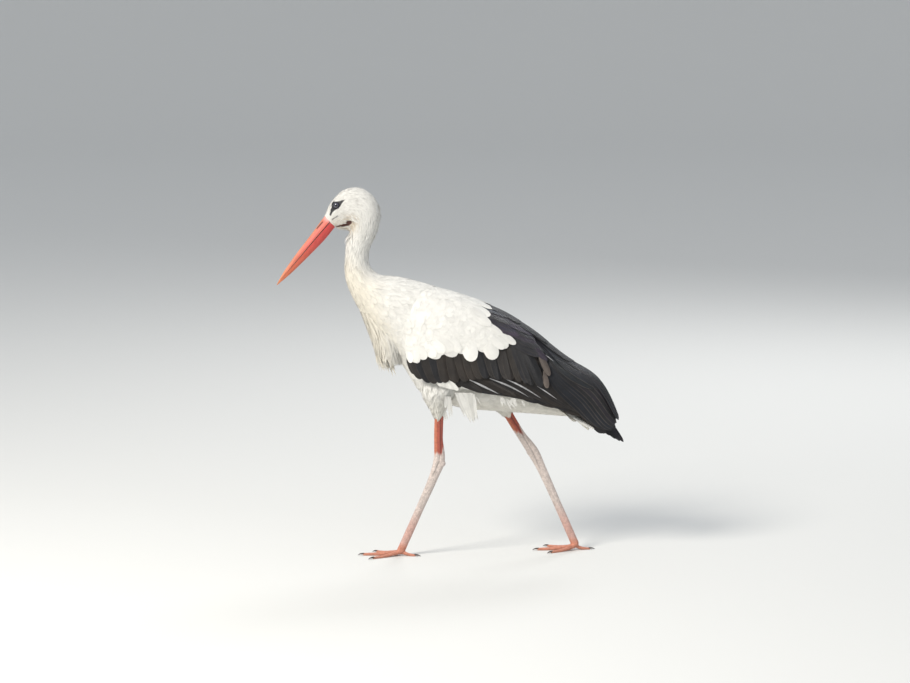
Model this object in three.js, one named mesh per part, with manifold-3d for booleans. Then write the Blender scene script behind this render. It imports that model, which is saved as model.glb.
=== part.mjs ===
// A white stork in mid-stride, life size. Millimetres, +Z up: the bird faces -X, its left side is
// towards -Y, and the origin is on the floor under the middle of its outline.
//
// The flesh and plumage are modelled whole and parted with thin cuts. A body part is a loft between
// two curves in the bird's plane of symmetry, its dorsal and its ventral outline, with a half width
// at each station. A folded wing is a curved slab on the flank. The feet stand on small flats.
import * as THREE from "three";
import { mergeVertices } from "three/addons/utils/BufferGeometryUtils.js";
import Module from "manifold-3d";

const wasm = await Module();
wasm.setup();

// ---- Driving dimensions ----

const GAP = 0.3; // clearance between pieces that meet
const TARSUS = 218; // ankle to toe joint
const FOOT_SIDE = 32; // feet either side of the middle
const ANKLE_SIDE = 40;
const TOE_JOINT_HEIGHT = 11;
const MIDDLE_TOE = 84; // toe lengths without the claw
const EYE_RADIUS = 8.2;
const EYE_SIDE = 12.3; // the eyes' centres either side of the middle
const SLAB_REACH = 400; // cutters reach this far, past both flanks

const FRONT_TOE_JOINT = new THREE.Vector3(-110, -FOOT_SIDE, TOE_JOINT_HEIGHT);
const REAR_TOE_JOINT = new THREE.Vector3(277, FOOT_SIDE, TOE_JOINT_HEIGHT + 3);
const FRONT_TARSUS_LEAN = 22; // degrees from upright: the front leg reaches forward, the rear one back
const REAR_TARSUS_LEAN = -26;

// ---- Materials ----

const finish = (color, roughness) => new THREE.MeshStandardMaterial({ color, roughness, metalness: 0 });
const white_plumage = finish(0xf1ede2, 0.9);
const black_plumage = finish(0x17171c, 0.6);
const red_horn = finish(0xc44a34, 0.45);
const leg_skin = finish(0xc9705a, 0.6);
const dark_horn = finish(0x3a2d26, 0.4);
const eye_surface = finish(0x14100e, 0.08);

// ---- Solids ----

const middle = (x, z) => new THREE.Vector3(x, 0, z); // a point in the plane of symmetry

// A smooth curve through points that stand at equal steps of its parameter.
const through = (points) => new THREE.CatmullRomCurve3(points.map(([x, z]) => middle(x, z)));

// A smooth number along a part, from its values at equal steps.
function along_part(values) {
  const curve = new THREE.CatmullRomCurve3(values.map((v) => new THREE.Vector3(v, 0, 0)));
  return (t) => curve.getPoint(t).x;
}

// The geometry with its shared points merged and its faces pointing out.
function facing_out(geometry) {
  const bare = geometry.clone();
  bare.deleteAttribute("normal");
  bare.deleteAttribute("uv");
  const merged = mergeVertices(bare, 1e-3);
  const [at, index] = [merged.getAttribute("position"), merged.index.array];
  const corners = [0, 1, 2].map(() => new THREE.Vector3());
  let volume = 0;
  for (let i = 0; i < index.length; i += 3) {
    corners.forEach((corner, n) => corner.fromBufferAttribute(at, index[i + n]));
    volume += corners[0].dot(corners[1].cross(corners[2]));
  }
  if (volume < 0) index.reverse();
  return merged;
}

// A closed geometry as a manifold solid.
function solid(geometry) {
  const closed = facing_out(geometry);
  const vertProperties = new Float32Array(closed.getAttribute("position").array);
  const triVerts = Uint32Array.from(closed.index.array);
  return new wasm.Manifold(new wasm.Mesh({ numProp: 3, vertProperties, triVerts }));
}

// The room that a piece's neighbours leave it: its solid, swollen by the clearance.
function room_for(geometry) {
  const swollen = facing_out(geometry);
  swollen.computeVertexNormals();
  const [at, normal] = [swollen.getAttribute("position"), swollen.getAttribute("normal")];
  const [point, outward] = [new THREE.Vector3(), new THREE.Vector3()];
  for (let i = 0; i < at.count; i++) {
    outward.fromBufferAttribute(normal, i).multiplyScalar(1.6 * GAP);
    point.fromBufferAttribute(at, i).add(outward);
    at.setXYZ(i, point.x, point.y, point.z);
  }
  return solid(swollen);
}

// A sphere's mesh, pulled out so that each of its rings is a section of the part at t from 0 to 1,
// and each pole is the middle of a flat end. place(t, up, side) gives the point, with up and side
// from -1 to 1 around the section.
function ringed(place, around, along) {
  const shape = new THREE.SphereGeometry(1, around, along + 2);
  const at = shape.getAttribute("position");
  for (let i = 0; i < at.count; i++) {
    const row = ((along + 2) * Math.acos(THREE.MathUtils.clamp(at.getY(i), -1, 1))) / Math.PI;
    const t = THREE.MathUtils.clamp((row - 1) / along, 0, 1);
    const ring = Math.hypot(at.getX(i), at.getZ(i)) > 1e-6 ? 1 : 0;
    const angle = Math.atan2(at.getZ(i), at.getX(i));
    const point = place(t, ring * Math.cos(angle), ring * Math.sin(angle));
    at.setXYZ(i, point.x, point.y, point.z);
  }
  return shape;
}

// A loft between a dorsal and a ventral outline. A square under 1 flattens its sides.
function loft({ dorsal, ventral, half_width, around = 20, along = 24, side = 0, square = 1 }) {
  const bulge = (v) => Math.sign(v) * Math.abs(v) ** square;
  return ringed(
    (t, up, across) => {
      const [top, keel] = [dorsal.getPoint(t), ventral.getPoint(t)];
      const level = 0.5 + 0.5 * bulge(up);
      return keel.lerp(top, level).setY(side + bulge(across) * half_width(t));
    },
    around,
    along,
  );
}

// A limb of round or oval section along a curve, deep in the bird's plane and wide across it.
function limb({ path, half_depth, half_width, around = 12, along = 12 }) {
  return ringed(
    (t, up, across) => {
      const tangent = path.getTangent(t);
      const sideways = new THREE.Vector3(-tangent.y, tangent.x, 0);
      if (Math.abs(tangent.z) > 0.7) sideways.set(0, 1, 0);
      sideways.addScaledVector(tangent, -sideways.dot(tangent)).normalize();
      const depthways = sideways.clone().cross(tangent).normalize();
      return path
        .getPoint(t)
        .addScaledVector(depthways, up * half_depth(t))
        .addScaledVector(sideways, across * half_width(t));
    },
    around,
    along,
  );
}

// A thin slab across the bird, along a curve in its plane of symmetry.
function ribbon(points, thickness = GAP) {
  const line = through(points);
  const count = 2 * (points.length - 1);
  const rim = [1, -1].map((hand) =>
    Array.from({ length: count + 1 }, (_, i) => {
      const [point, tangent] = [line.getPoint(i / count), line.getTangent(i / count)];
      const off = (hand * thickness) / 2;
      return new THREE.Vector2(point.x - tangent.z * off, point.z + tangent.x * off);
    }),
  );
  const outline = new THREE.Shape([...rim[0], ...rim[1].reverse()]);
  const slab = new THREE.ExtrudeGeometry(outline, { depth: SLAB_REACH, bevelEnabled: false });
  return solid(slab.translate(0, 0, -SLAB_REACH / 2).rotateX(Math.PI / 2));
}

// A flat slab along one section of a loft, a little wider than the part.
function section_slab({ dorsal, ventral }, t) {
  const [top, keel] = [dorsal.getPoint(t), ventral.getPoint(t)];
  const past = top.clone().sub(keel).setLength(8);
  const [from, to] = [keel.sub(past), top.add(past)];
  return ribbon([[from.x, from.z], [to.x, to.z]]);
}

function ball(radius, centre) {
  return new THREE.SphereGeometry(radius, 12, 8).translate(centre.x, centre.y, centre.z);
}

const under_floor = solid(
  new THREE.BoxGeometry(1200, SLAB_REACH, 100).translate(0, 0, -50),
);

const bodies = (made) => made.decompose().sort((a, b) => b.volume() - a.volume());
const largest = (made) => bodies(made)[0];
const middle_of = (made) => {
  const { min, max } = made.boundingBox();
  return new THREE.Vector3((min[0] + max[0]) / 2, (min[1] + max[1]) / 2, (min[2] + max[2]) / 2);
};
const nearest = (made, x, z) =>
  bodies(made)
    .filter((b) => b.volume() > 100)
    .map((b) => ({ b, away: middle_of(b).setY(0).distanceTo(middle(x, z)) }))
    .sort((a, b) => a.away - b.away)[0].b;

const stork = new THREE.Group();
stork.name = "white_stork";

function add(name, made, material) {
  const { vertProperties, triVerts, numProp } = made.getMesh();
  const points = new Float32Array((vertProperties.length / numProp) * 3);
  for (let i = 0; i * numProp < vertProperties.length; i++) {
    points.set(vertProperties.subarray(i * numProp, i * numProp + 3), i * 3);
  }
  const geometry = new THREE.BufferGeometry();
  geometry.setAttribute("position", new THREE.BufferAttribute(points, 3));
  geometry.setIndex(new THREE.BufferAttribute(new Uint32Array(triVerts), 1));
  geometry.computeVertexNormals();
  const mesh = new THREE.Mesh(geometry, material);
  mesh.name = name;
  stork.add(mesh);
}

// ---- Head, neck and trunk: one loft from the bill's base, over the crown, to the tail's root ----

const STATIONS = [
  // dorsal x, z, ventral x, z, half width
  { dorsal: [-276, 751], ventral: [-252, 726], half_width: 11 }, // bill's base
  { dorsal: [-262, 781], ventral: [-243, 720], half_width: 18.5 }, // brow
  { dorsal: [-232, 811], ventral: [-236, 716], half_width: 24 }, // crown
  { dorsal: [-197, 815], ventral: [-231, 713], half_width: 27 },
  { dorsal: [-168, 792], ventral: [-229, 710], half_width: 28 }, // back of the head
  { dorsal: [-158, 757], ventral: [-229, 705], half_width: 27 },
  { dorsal: [-167, 715], ventral: [-230, 694], half_width: 24.5 }, // top of the neck
  { dorsal: [-180, 673], ventral: [-232, 663], half_width: 23 },
  { dorsal: [-178, 643], ventral: [-233, 630], half_width: 26 },
  { dorsal: [-158, 623], ventral: [-228, 600], half_width: 34 }, // foot of the neck
  { dorsal: [-112, 617], ventral: [-210, 560], half_width: 48 },
  { dorsal: [-50, 601], ventral: [-182, 515], half_width: 61 }, // shoulders
  { dorsal: [16, 578], ventral: [-148, 472], half_width: 70 },
  { dorsal: [74, 550], ventral: [-104, 417], half_width: 75 }, // breast
  { dorsal: [124, 512], ventral: [-58, 352], half_width: 75 },
  { dorsal: [160, 470], ventral: [20, 327], half_width: 69 }, // belly
  { dorsal: [196, 420], ventral: [108, 318], half_width: 56 },
  { dorsal: [230, 370], ventral: [180, 313], half_width: 40 }, // vent
  { dorsal: [252, 336], ventral: [240, 308], half_width: 24 }, // root of the tail
];

const BODY = {
  dorsal: through(STATIONS.map((s) => s.dorsal)),
  ventral: through(STATIONS.map((s) => s.ventral)),
  half_width: along_part(STATIONS.map((s) => s.half_width)),
  around: 16,
  along: 36,
};

// ---- Folded wings: a slab from the shoulder to the tip, over the back and down the flank ----

const WING_STATIONS = [
  { top: [-92, 594], bottom: [-102, 452], half_width: 70, thickness: 8 }, // wrist
  { top: [-50, 596], bottom: [-76, 412], half_width: 88, thickness: 14 },
  { top: [16, 580], bottom: [-14, 381], half_width: 97, thickness: 15 },
  { top: [96, 549], bottom: [58, 361], half_width: 97, thickness: 15 },
  { top: [172, 503], bottom: [130, 350], half_width: 88, thickness: 17 },
  { top: [252, 440], bottom: [206, 330], half_width: 72, thickness: 24 },
  { top: [326, 390], bottom: [290, 300], half_width: 52, thickness: 26 }, // ends of the tertials
  { top: [368, 305], bottom: [338, 269], half_width: 32, thickness: 18 },
  { top: [382, 253], bottom: [380, 251], half_width: 12, thickness: 8 }, // tips of the primaries
];

const WING = {
  top: through(WING_STATIONS.map((s) => s.top)),
  bottom: through(WING_STATIONS.map((s) => s.bottom)),
  half_width: along_part(WING_STATIONS.map((s) => s.half_width)),
  thickness: along_part(WING_STATIONS.map((s) => s.thickness)),
  fullness: 0.75, // under 1, the section is squarer than an ellipse
};
const WING_TOP_ANGLE = 2; // degrees around the section from the middle of the back
const WING_BOTTOM_ANGLE = 122;

// The point at u along the wing, v from its upper to its lower edge and w from outside to inside.
function wing_point(u, v, w) {
  const [high, low] = [WING_TOP_ANGLE, WING_BOTTOM_ANGLE].map(THREE.MathUtils.degToRad);
  const angle = THREE.MathUtils.lerp(high, low, v);
  const down = (Math.cos(high) - Math.cos(angle)) / (Math.cos(high) - Math.cos(low));
  const level = Math.cos(high) / (Math.cos(high) - Math.cos(low));
  const [top, bottom] = [WING.top.getPoint(u), WING.bottom.getPoint(u)];
  const half = WING.half_width(u);
  const inner = Math.max(0.03, 1 - (w * WING.thickness(u)) / half);
  const share = level + (down - level) * THREE.MathUtils.lerp(1, inner, 0.8);
  const point = top.clone().lerp(bottom, share);
  return point.setY(Math.max(1, half * Math.sin(angle) ** WING.fullness * inner));
}

function wing_slab() {
  const slab = new THREE.BoxGeometry(1, 1, 1, 14, 6, 1);
  const at = slab.getAttribute("position");
  for (let i = 0; i < at.count; i++) {
    const point = wing_point(at.getX(i) + 0.5, at.getY(i) + 0.5, at.getZ(i) + 0.5);
    at.setXYZ(i, point.x, -point.y, point.z);
  }
  return slab;
}

const mirrored = (made) => made.mirror([0, 1, 0]);
const left_wing = solid(wing_slab());
const beside_left_wing = room_for(wing_slab().translate(0, -60, 0));
const left_wing_room = room_for(wing_slab()).add(beside_left_wing);
const wing_room = left_wing_room.add(mirrored(left_wing_room));

// Where the wing's feather groups part, seen from the side.
const WING_SEAMS = {
  white_and_black: [
    [-140, 432], [-96, 437], [-58, 449], [5, 457], [50, 447], [95, 451], [128, 478],
    [136, 492], [104, 508], [84, 526], [76, 552], [76, 600],
  ],
  under_tertials: [
    [132, 494], [180, 460], [212, 420], [232, 378], [268, 350], [305, 322], [340, 300], [400, 292],
  ],
  under_greater_coverts: [[-40, 372], [-10, 386], [65, 394], [150, 393], [232, 383]],
  before_primaries: [[267, 353], [276, 320], [278, 280]],
};
const wing_pieces = Object.values(WING_SEAMS).reduce(
  (wing, seam) => wing.subtract(ribbon(seam)),
  left_wing,
);
const WING_GROUPS = [
  { name: "coverts", x: -20, z: 520, material: white_plumage },
  { name: "greater_coverts", x: 60, z: 425, material: black_plumage },
  { name: "tertials", x: 230, z: 425, material: black_plumage },
  { name: "secondaries", x: 115, z: 360, material: black_plumage },
  { name: "primaries", x: 325, z: 290, material: black_plumage },
];
for (const { name, x, z, material } of WING_GROUPS) {
  const group = nearest(wing_pieces, x, z);
  add(`wing_left_${name}`, group, material);
  add(`wing_right_${name}`, mirrored(group), material);
}

// ---- Tail: the closed fan of rectrices under the wing tips ----

const TAIL = {
  dorsal: through([[180, 384], [226, 352], [270, 318], [300, 293], [317, 280]]),
  ventral: through([[172, 360], [220, 332], [266, 300], [294, 284], [314, 274]]),
  half_width: along_part([20, 26, 32, 36, 37]),
  around: 14,
  along: 6,
  square: 0.6,
};

// ---- Breast plumes: the long loose feathers that hang off the foot of the neck ----

const PLUMES = {
  dorsal: through([[-190, 570], [-130, 520], [-100, 470], [-104, 425], [-127, 403]]),
  ventral: through([[-215, 572], [-192, 522], [-174, 476], [-157, 433], [-136, 403]]),
  half_width: along_part([10, 38, 46, 38, 16]),
  around: 14,
  along: 6,
};

// ---- Legs ----

function tarsus_top(toe_joint, lean) {
  const angle = THREE.MathUtils.degToRad(lean);
  return new THREE.Vector3(
    toe_joint.x + TARSUS * Math.sin(angle),
    Math.sign(toe_joint.y) * ANKLE_SIDE,
    toe_joint.z + TARSUS * Math.cos(angle),
  );
}

const LEGS = [
  {
    side: "left",
    toe_joint: FRONT_TOE_JOINT,
    ankle: tarsus_top(FRONT_TOE_JOINT, FRONT_TARSUS_LEAN),
    tibia_top: new THREE.Vector3(-25, -42, 318), // where the feathers end
    thigh: {
      dorsal: through([[52, 420], [34, 385], [4, 350], [-14, 318]]), // the back of the thigh
      ventral: through([[-92, 420], [-66, 366], [-50, 334], [-36, 308]]), // its front
      half_width: along_part([44, 36, 22, 9]),
      side: -42,
    },
  },
  {
    side: "right",
    toe_joint: REAR_TOE_JOINT,
    ankle: tarsus_top(REAR_TOE_JOINT, REAR_TARSUS_LEAN),
    tibia_top: new THREE.Vector3(126, 42, 308),
    thigh: {
      dorsal: through([[130, 400], [140, 366], [141, 336], [137, 306]]),
      ventral: through([[0, 380], [40, 348], [86, 322], [115, 300]]),
      half_width: along_part([40, 34, 22, 9]),
      side: 42,
    },
  },
];

// ---- The body, its coat of wings taken out, and what hangs from it ----

const whole_body = solid(loft(BODY));
const body_room = room_for(loft(BODY));
const body_and_wings = body_room.add(wing_room);

const NECK_CUTS = [6.1, 8.0, 9.6].map((station) => station / (STATIONS.length - 1));
const parted = NECK_CUTS.reduce((body, t) => body.subtract(section_slab(BODY, t)), whole_body);
const [head, neck_upper, neck_lower, trunk] = bodies(parted)
  .slice(0, 4)
  .sort((a, b) => middle_of(b).z - middle_of(a).z);

const EYES = [
  { name: "eye_left", centre: new THREE.Vector3(-249, -EYE_SIDE, 775) },
  { name: "eye_right", centre: new THREE.Vector3(-249, EYE_SIDE, 775) },
];
const socketed = EYES.reduce(
  (made, { centre }) => made.subtract(room_for(ball(EYE_RADIUS, centre))),
  head,
);
for (const { name, centre } of EYES) add(name, solid(ball(EYE_RADIUS, centre)), eye_surface);
add("head", largest(socketed), white_plumage);
add("neck_upper", neck_upper, white_plumage);
add("neck_lower", neck_lower, white_plumage);
add("trunk", largest(trunk.subtract(wing_room)), white_plumage);
add("breast_plumes", largest(solid(loft(PLUMES)).subtract(body_and_wings)), white_plumage);
add("tail", largest(solid(loft(TAIL)).subtract(body_and_wings)), white_plumage);

// ---- Bill: one long wedge, parted along the line where its halves meet ----

const BILL = {
  dorsal: through([[-277, 749], [-307.5, 707.5], [-340, 665], [-369, 623], [-382, 599]]),
  ventral: through([[-254, 725.5], [-276, 698.5], [-311, 662.5], [-350, 624.5], [-381, 598]]),
  half_width: along_part([11.5, 9.5, 6.8, 4, 1]),
  around: 12,
  along: 8,
};
const MOUTH_LINE = [[-245, 757], [-262, 740], [-303, 693], [-334, 656], [-361, 624.5], [-392, 588]];
const ahead_and_up = (made) => middle_of(made).z - middle_of(made).x;
const [bill_upper, bill_lower] = bodies(
  solid(loft(BILL)).subtract(body_room).subtract(ribbon(MOUTH_LINE)),
)
  .slice(0, 2)
  .sort((a, b) => ahead_and_up(b) - ahead_and_up(a));
add("bill_upper", bill_upper, red_horn);
add("bill_lower", bill_lower, red_horn);

// ---- Tibia, tarsus, foot and claws ----

const HIND_TOE = 34;
const KNUCKLE_RADIUS = 8.4; // the ball that the toes spread from
const TOES = [
  // degrees from straight ahead, towards the outside; length; half thickness
  { name: "inner", turn: -34, reach: 0.78 * MIDDLE_TOE, thick: 4.3 },
  { name: "middle", turn: -2, reach: MIDDLE_TOE, thick: 4.6 },
  { name: "outer", turn: 32, reach: 0.86 * MIDDLE_TOE, thick: 4.2 },
  { name: "hind", turn: 168, reach: HIND_TOE, thick: 3.9 },
];
const CLAW = { length: 11, half_width: 2.6, half_height: 2 };
const PAD_SINK = 1.1; // how deep the pads are flattened where they stand

function toe_direction(turn, hand) {
  const angle = THREE.MathUtils.degToRad(turn);
  return new THREE.Vector3(-Math.cos(angle), hand * Math.sin(angle), 0);
}

function toe({ turn, reach, thick }, joint, hand) {
  const ahead = toe_direction(turn, hand);
  const knuckle = joint.clone().addScaledVector(ahead, 0.22 * reach).setZ(thick + 2.4);
  const tip = joint.clone().addScaledVector(ahead, reach).setZ(thick * 0.72 - PAD_SINK);
  const midway = knuckle.clone().lerp(tip, 0.5).setZ(thick * 0.95 - PAD_SINK);
  const path = new THREE.CatmullRomCurve3([joint.clone().setZ(joint.z - 3), knuckle, midway, tip]);
  const girth = (t) => thick * (1.15 - 0.42 * t);
  return solid(limb({ path, half_depth: girth, half_width: girth, around: 8, along: 5 }));
}

function claw({ turn, reach, thick }, joint, hand) {
  const ahead = toe_direction(turn, hand);
  const root = joint.clone().addScaledVector(ahead, reach - 2).setZ(thick * 0.85);
  const arch = root.clone().addScaledVector(ahead, CLAW.length * 0.55).setZ(thick * 0.8);
  const point = root.clone().addScaledVector(ahead, CLAW.length).setZ(0.9);
  const path = new THREE.CatmullRomCurve3([root, arch, point]);
  const taper = (size) => (t) => size * (1 - 0.8 * t * t);
  const [half_depth, half_width] = [taper(CLAW.half_height), taper(CLAW.half_width)];
  return solid(limb({ path, half_depth, half_width, around: 6, along: 2 })).subtract(under_floor);
}

// A slab square across a limb, at the share t of its path.
function cross_slab(path, t) {
  const slab = new THREE.BoxGeometry(44, 44, GAP);
  const turn = new THREE.Quaternion().setFromUnitVectors(
    new THREE.Vector3(0, 0, 1),
    path.getTangent(t),
  );
  const at = path.getPoint(t);
  return solid(slab.applyQuaternion(turn).translate(at.x, at.y, at.z));
}

// The bare leg is one limb with a swollen ankle.
const LEG = {
  half_depth: along_part([9.3, 9, 12.6, 7.4, 6.2, 8.4]),
  half_width: along_part([5.6, 5.4, 8.6, 5.6, 5, 7.4]),
  around: 8,
  along: 16,
};
const ANKLE_CUT = 0.4;
const TOE_CUT = 0.965;

function leg_path({ tibia_top, ankle, toe_joint }) {
  return new THREE.CatmullRomCurve3([
    tibia_top.clone().lerp(ankle, -0.14),
    tibia_top.clone().lerp(ankle, 0.5),
    ankle.clone().add(middle(2.5, 0)), // the heel stands out behind
    ankle.clone().lerp(toe_joint, 0.18),
    ankle.clone().lerp(toe_joint, 0.58),
    toe_joint,
  ]);
}

for (const leg of LEGS) {
  const { side, toe_joint, thigh } = leg;
  const hand = Math.sign(toe_joint.y);
  const thigh_shape = loft({ ...thigh, around: 14, along: 5 });
  add(`thigh_${side}`, largest(solid(thigh_shape).subtract(body_and_wings)), white_plumage);

  const path = leg_path(leg);
  const toe_slab = cross_slab(path, TOE_CUT);
  const bare = solid(limb({ path, ...LEG }))
    .subtract(room_for(thigh_shape))
    .subtract(body_and_wings)
    .subtract(cross_slab(path, ANKLE_CUT))
    .subtract(toe_slab);
  const [tibia, tarsus, ball_of_foot] = bodies(bare)
    .slice(0, 3)
    .sort((a, b) => middle_of(b).z - middle_of(a).z);
  add(`tibia_${side}`, tibia, leg_skin);
  add(`tarsus_${side}`, tarsus, leg_skin);

  const toes = TOES.map((digit) => toe(digit, toe_joint, hand));
  const foot = [...toes, solid(ball(KNUCKLE_RADIUS, toe_joint))]
    .reduce((made, piece) => made.add(piece), ball_of_foot)
    .subtract(toe_slab)
    .subtract(tarsus)
    .subtract(under_floor);
  add(`foot_${side}`, largest(foot), leg_skin);
  for (const digit of TOES) {
    const nail = claw(digit, toe_joint, hand).subtract(foot);
    add(`claw_${side}_${digit.name}`, largest(nail), dark_horn);
  }
}

export default stork;
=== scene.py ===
# %% [markdown]
# # A white stork in mid-stride
# This lesson dresses the solid frame of a life-size stork. The frame gives the outline; here the
# body gets one skin, and over it a coat of separate feathers that follow the lie of the plumage.
# Every surface that feathers lie on is described once, as a sheet with two numbers, and both the
# skin and the coat are laid out on it, so they can't drift apart.

# %% Load the frame
import math

import bmesh
import bpy
import numpy as np
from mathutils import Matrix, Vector
from mathutils.kdtree import KDTree


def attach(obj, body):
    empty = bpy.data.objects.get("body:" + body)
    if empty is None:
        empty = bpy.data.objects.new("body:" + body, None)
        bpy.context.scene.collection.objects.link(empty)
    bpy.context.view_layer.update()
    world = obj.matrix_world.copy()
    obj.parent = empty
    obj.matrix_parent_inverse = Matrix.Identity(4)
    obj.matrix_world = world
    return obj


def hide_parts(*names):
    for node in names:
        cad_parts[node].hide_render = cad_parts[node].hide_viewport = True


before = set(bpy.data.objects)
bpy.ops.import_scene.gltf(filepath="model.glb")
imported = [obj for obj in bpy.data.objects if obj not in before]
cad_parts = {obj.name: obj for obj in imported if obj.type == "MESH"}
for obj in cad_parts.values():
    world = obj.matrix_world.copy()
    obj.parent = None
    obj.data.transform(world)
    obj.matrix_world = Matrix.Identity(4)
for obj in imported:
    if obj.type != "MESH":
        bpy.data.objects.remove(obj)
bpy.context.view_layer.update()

MM = 0.001
DRAWS = np.random.default_rng(20)  # every random draw below comes from here, in order

# %% [markdown]
# ## Camera, floor and light
# The bird is seen square from its left side, from a little above its back and from some eight
# metres off, so the lens is long and the two legs show almost no perspective. A pale floor that
# sweeps up all round like a dish, one broad soft key from the upper left and a weaker fill keep
# white plumage from burning out while the black wing still shows its feathers.

# %% Camera
VIEW_DOWN = math.radians(8)
VIEW_DISTANCE = 8.0
IMAGE_WIDTH, MM_PER_PIXEL = 910, 2.2
SENSOR_WIDTH = 36
aim = Vector((9.6 * MM, 0, 473.2 * MM))


def new_object(name, data):
    piece = bpy.data.objects.new(name, data)
    bpy.context.collection.objects.link(piece)
    return piece


camera_data = bpy.data.cameras.new("camera")
camera_data.sensor_width = SENSOR_WIDTH
camera_data.lens = SENSOR_WIDTH * VIEW_DISTANCE / (IMAGE_WIDTH * MM_PER_PIXEL * MM)
camera_data.clip_end = 60
camera = new_object("camera", camera_data)
camera.location = aim + VIEW_DISTANCE * Vector((0, -math.cos(VIEW_DOWN), math.sin(VIEW_DOWN)))
camera.rotation_euler = (math.pi / 2 - VIEW_DOWN, 0, 0)
bpy.context.scene.camera = camera
print("lens", round(camera_data.lens, 1))


# %% Floor
def mesh_from(bm, name):
    mesh = bpy.data.meshes.new(name)
    bm.to_mesh(mesh)
    bm.free()
    mesh.polygons.foreach_set("use_smooth", np.ones(len(mesh.polygons), bool))
    return mesh


def drawn_out(bm, edges):
    """Extrude edges where they are, and give the points and the edges of the new rim."""
    made = bmesh.ops.extrude_edge_only(bm, edges=edges)["geom"]
    points = [part for part in made if isinstance(part, bmesh.types.BMVert)]
    lines = [part for part in made if isinstance(part, bmesh.types.BMEdge)]
    return points, [line for line in lines if set(line.verts) <= set(points)]


def new_material(name):
    """A material with its node tree and its shader."""
    material = bpy.data.materials.new(name)
    material.use_nodes = True
    return material, material.node_tree, material.node_tree.nodes["Principled BSDF"]


FLOOR_RADIUS, FLOOR_RISE, FLOOR_BEND = 17, 7, 6.5  # in metres
bm = bmesh.new()
bmesh.ops.create_circle(bm, cap_ends=True, segments=96, radius=FLOOR_RADIUS)
rim = [edge for edge in bm.edges if edge.is_boundary]
bmesh.ops.translate(bm, verts=drawn_out(bm, rim)[0], vec=(0, 0, FLOOR_RISE))
bmesh.ops.bevel(
    bm, geom=rim, offset=FLOOR_BEND, offset_type="OFFSET", segments=24, profile=0.5,
    affect="EDGES", material=-1,
)
bmesh.ops.recalc_face_normals(bm, faces=bm.faces)
floor = new_object("floor", mesh_from(bm, "floor"))
pale_floor, _, shader = new_material("pale_floor")
shader.inputs["Base Color"].default_value = (0.68, 0.68, 0.66, 1)
shader.inputs["Roughness"].default_value = 0.9
floor.data.materials.append(pale_floor)
print("floor faces", len(floor.data.polygons))

# %% Lights
world = bpy.data.worlds.new("studio")
world.use_nodes = True
world.node_tree.nodes["Background"].inputs["Color"].default_value = (0.86, 0.90, 0.96, 1)
world.node_tree.nodes["Background"].inputs["Strength"].default_value = 0.68
bpy.context.scene.world = world


def softbox(name, place, size, power, colour):
    lamp = bpy.data.lights.new(name, "AREA")
    lamp.shape = "DISK"
    lamp.size = size
    lamp.energy = power
    lamp.color = colour
    holder = new_object(name, lamp)
    holder.location = place
    holder.rotation_euler = (aim - Vector(place)).to_track_quat("-Z", "Y").to_euler()
    print(name, "watts", power)


softbox("key", (-2.6, -2.6, 3.3), 1.7, 228, (1.0, 0.955, 0.88))
softbox("fill", (3.2, -3.0, 1.8), 2.4, 22, (0.90, 0.95, 1.0))
softbox("rim", (1.5, 3.2, 2.8), 1.6, 55, (1.0, 1.0, 1.0))
bpy.context.scene.view_settings.view_transform = "Standard"

# %% [markdown]
# ## Sheets: where the surface is
# A bird's body is a loft: at each station along it there is a point on the back, a point on the
# belly and a half width, and a smooth curve runs through all of them. The frame is made from
# nearly the same stations, so the skin lies close to it. A sheet turns two numbers, how far along
# and how far round, into a place, an outward direction and the two directions along the surface.


# %% Curves
def smooth_curve(points):
    """A curve through points at equal steps of its parameter, from 0 to 1."""
    points = np.array(points, float)
    points = points[:, None] if points.ndim == 1 else points
    full = np.vstack([2 * points[0] - points[1], points, 2 * points[-1] - points[-2]])
    last = len(points) - 1

    def step(a, b):
        return np.maximum(np.linalg.norm(a - b, axis=-1, keepdims=True), 1e-9) ** 0.5

    def at(t):
        t = np.clip(np.asarray(t, float), 0, 1) * last
        i = np.minimum(t.astype(int), last - 1)
        w = (t - i)[..., None]
        p0, p1, p2, p3 = (full[i + n] for n in range(4))
        d0, d1, d2 = step(p0, p1), step(p1, p2), step(p2, p3)
        m1 = ((p1 - p0) / d0 - (p2 - p0) / (d0 + d1) + (p2 - p1) / d1) * d1
        m2 = ((p2 - p1) / d1 - (p3 - p1) / (d1 + d2) + (p3 - p2) / d2) * d1
        cubic = 2 * p1 - 2 * p2 + m1 + m2
        return p1 + m1 * w + (-3 * p1 + 3 * p2 - 2 * m1 - m2) * w**2 + cubic * w**3

    return at


def unit(vectors):
    return vectors / np.maximum(np.linalg.norm(vectors, axis=-1, keepdims=True), 1e-12)


def blend(low, high, x):
    """0 below low, 1 above high, smooth between."""
    x = np.clip((x - low) / (high - low), 0, 1)
    return x * x * (3 - 2 * x)


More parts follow.
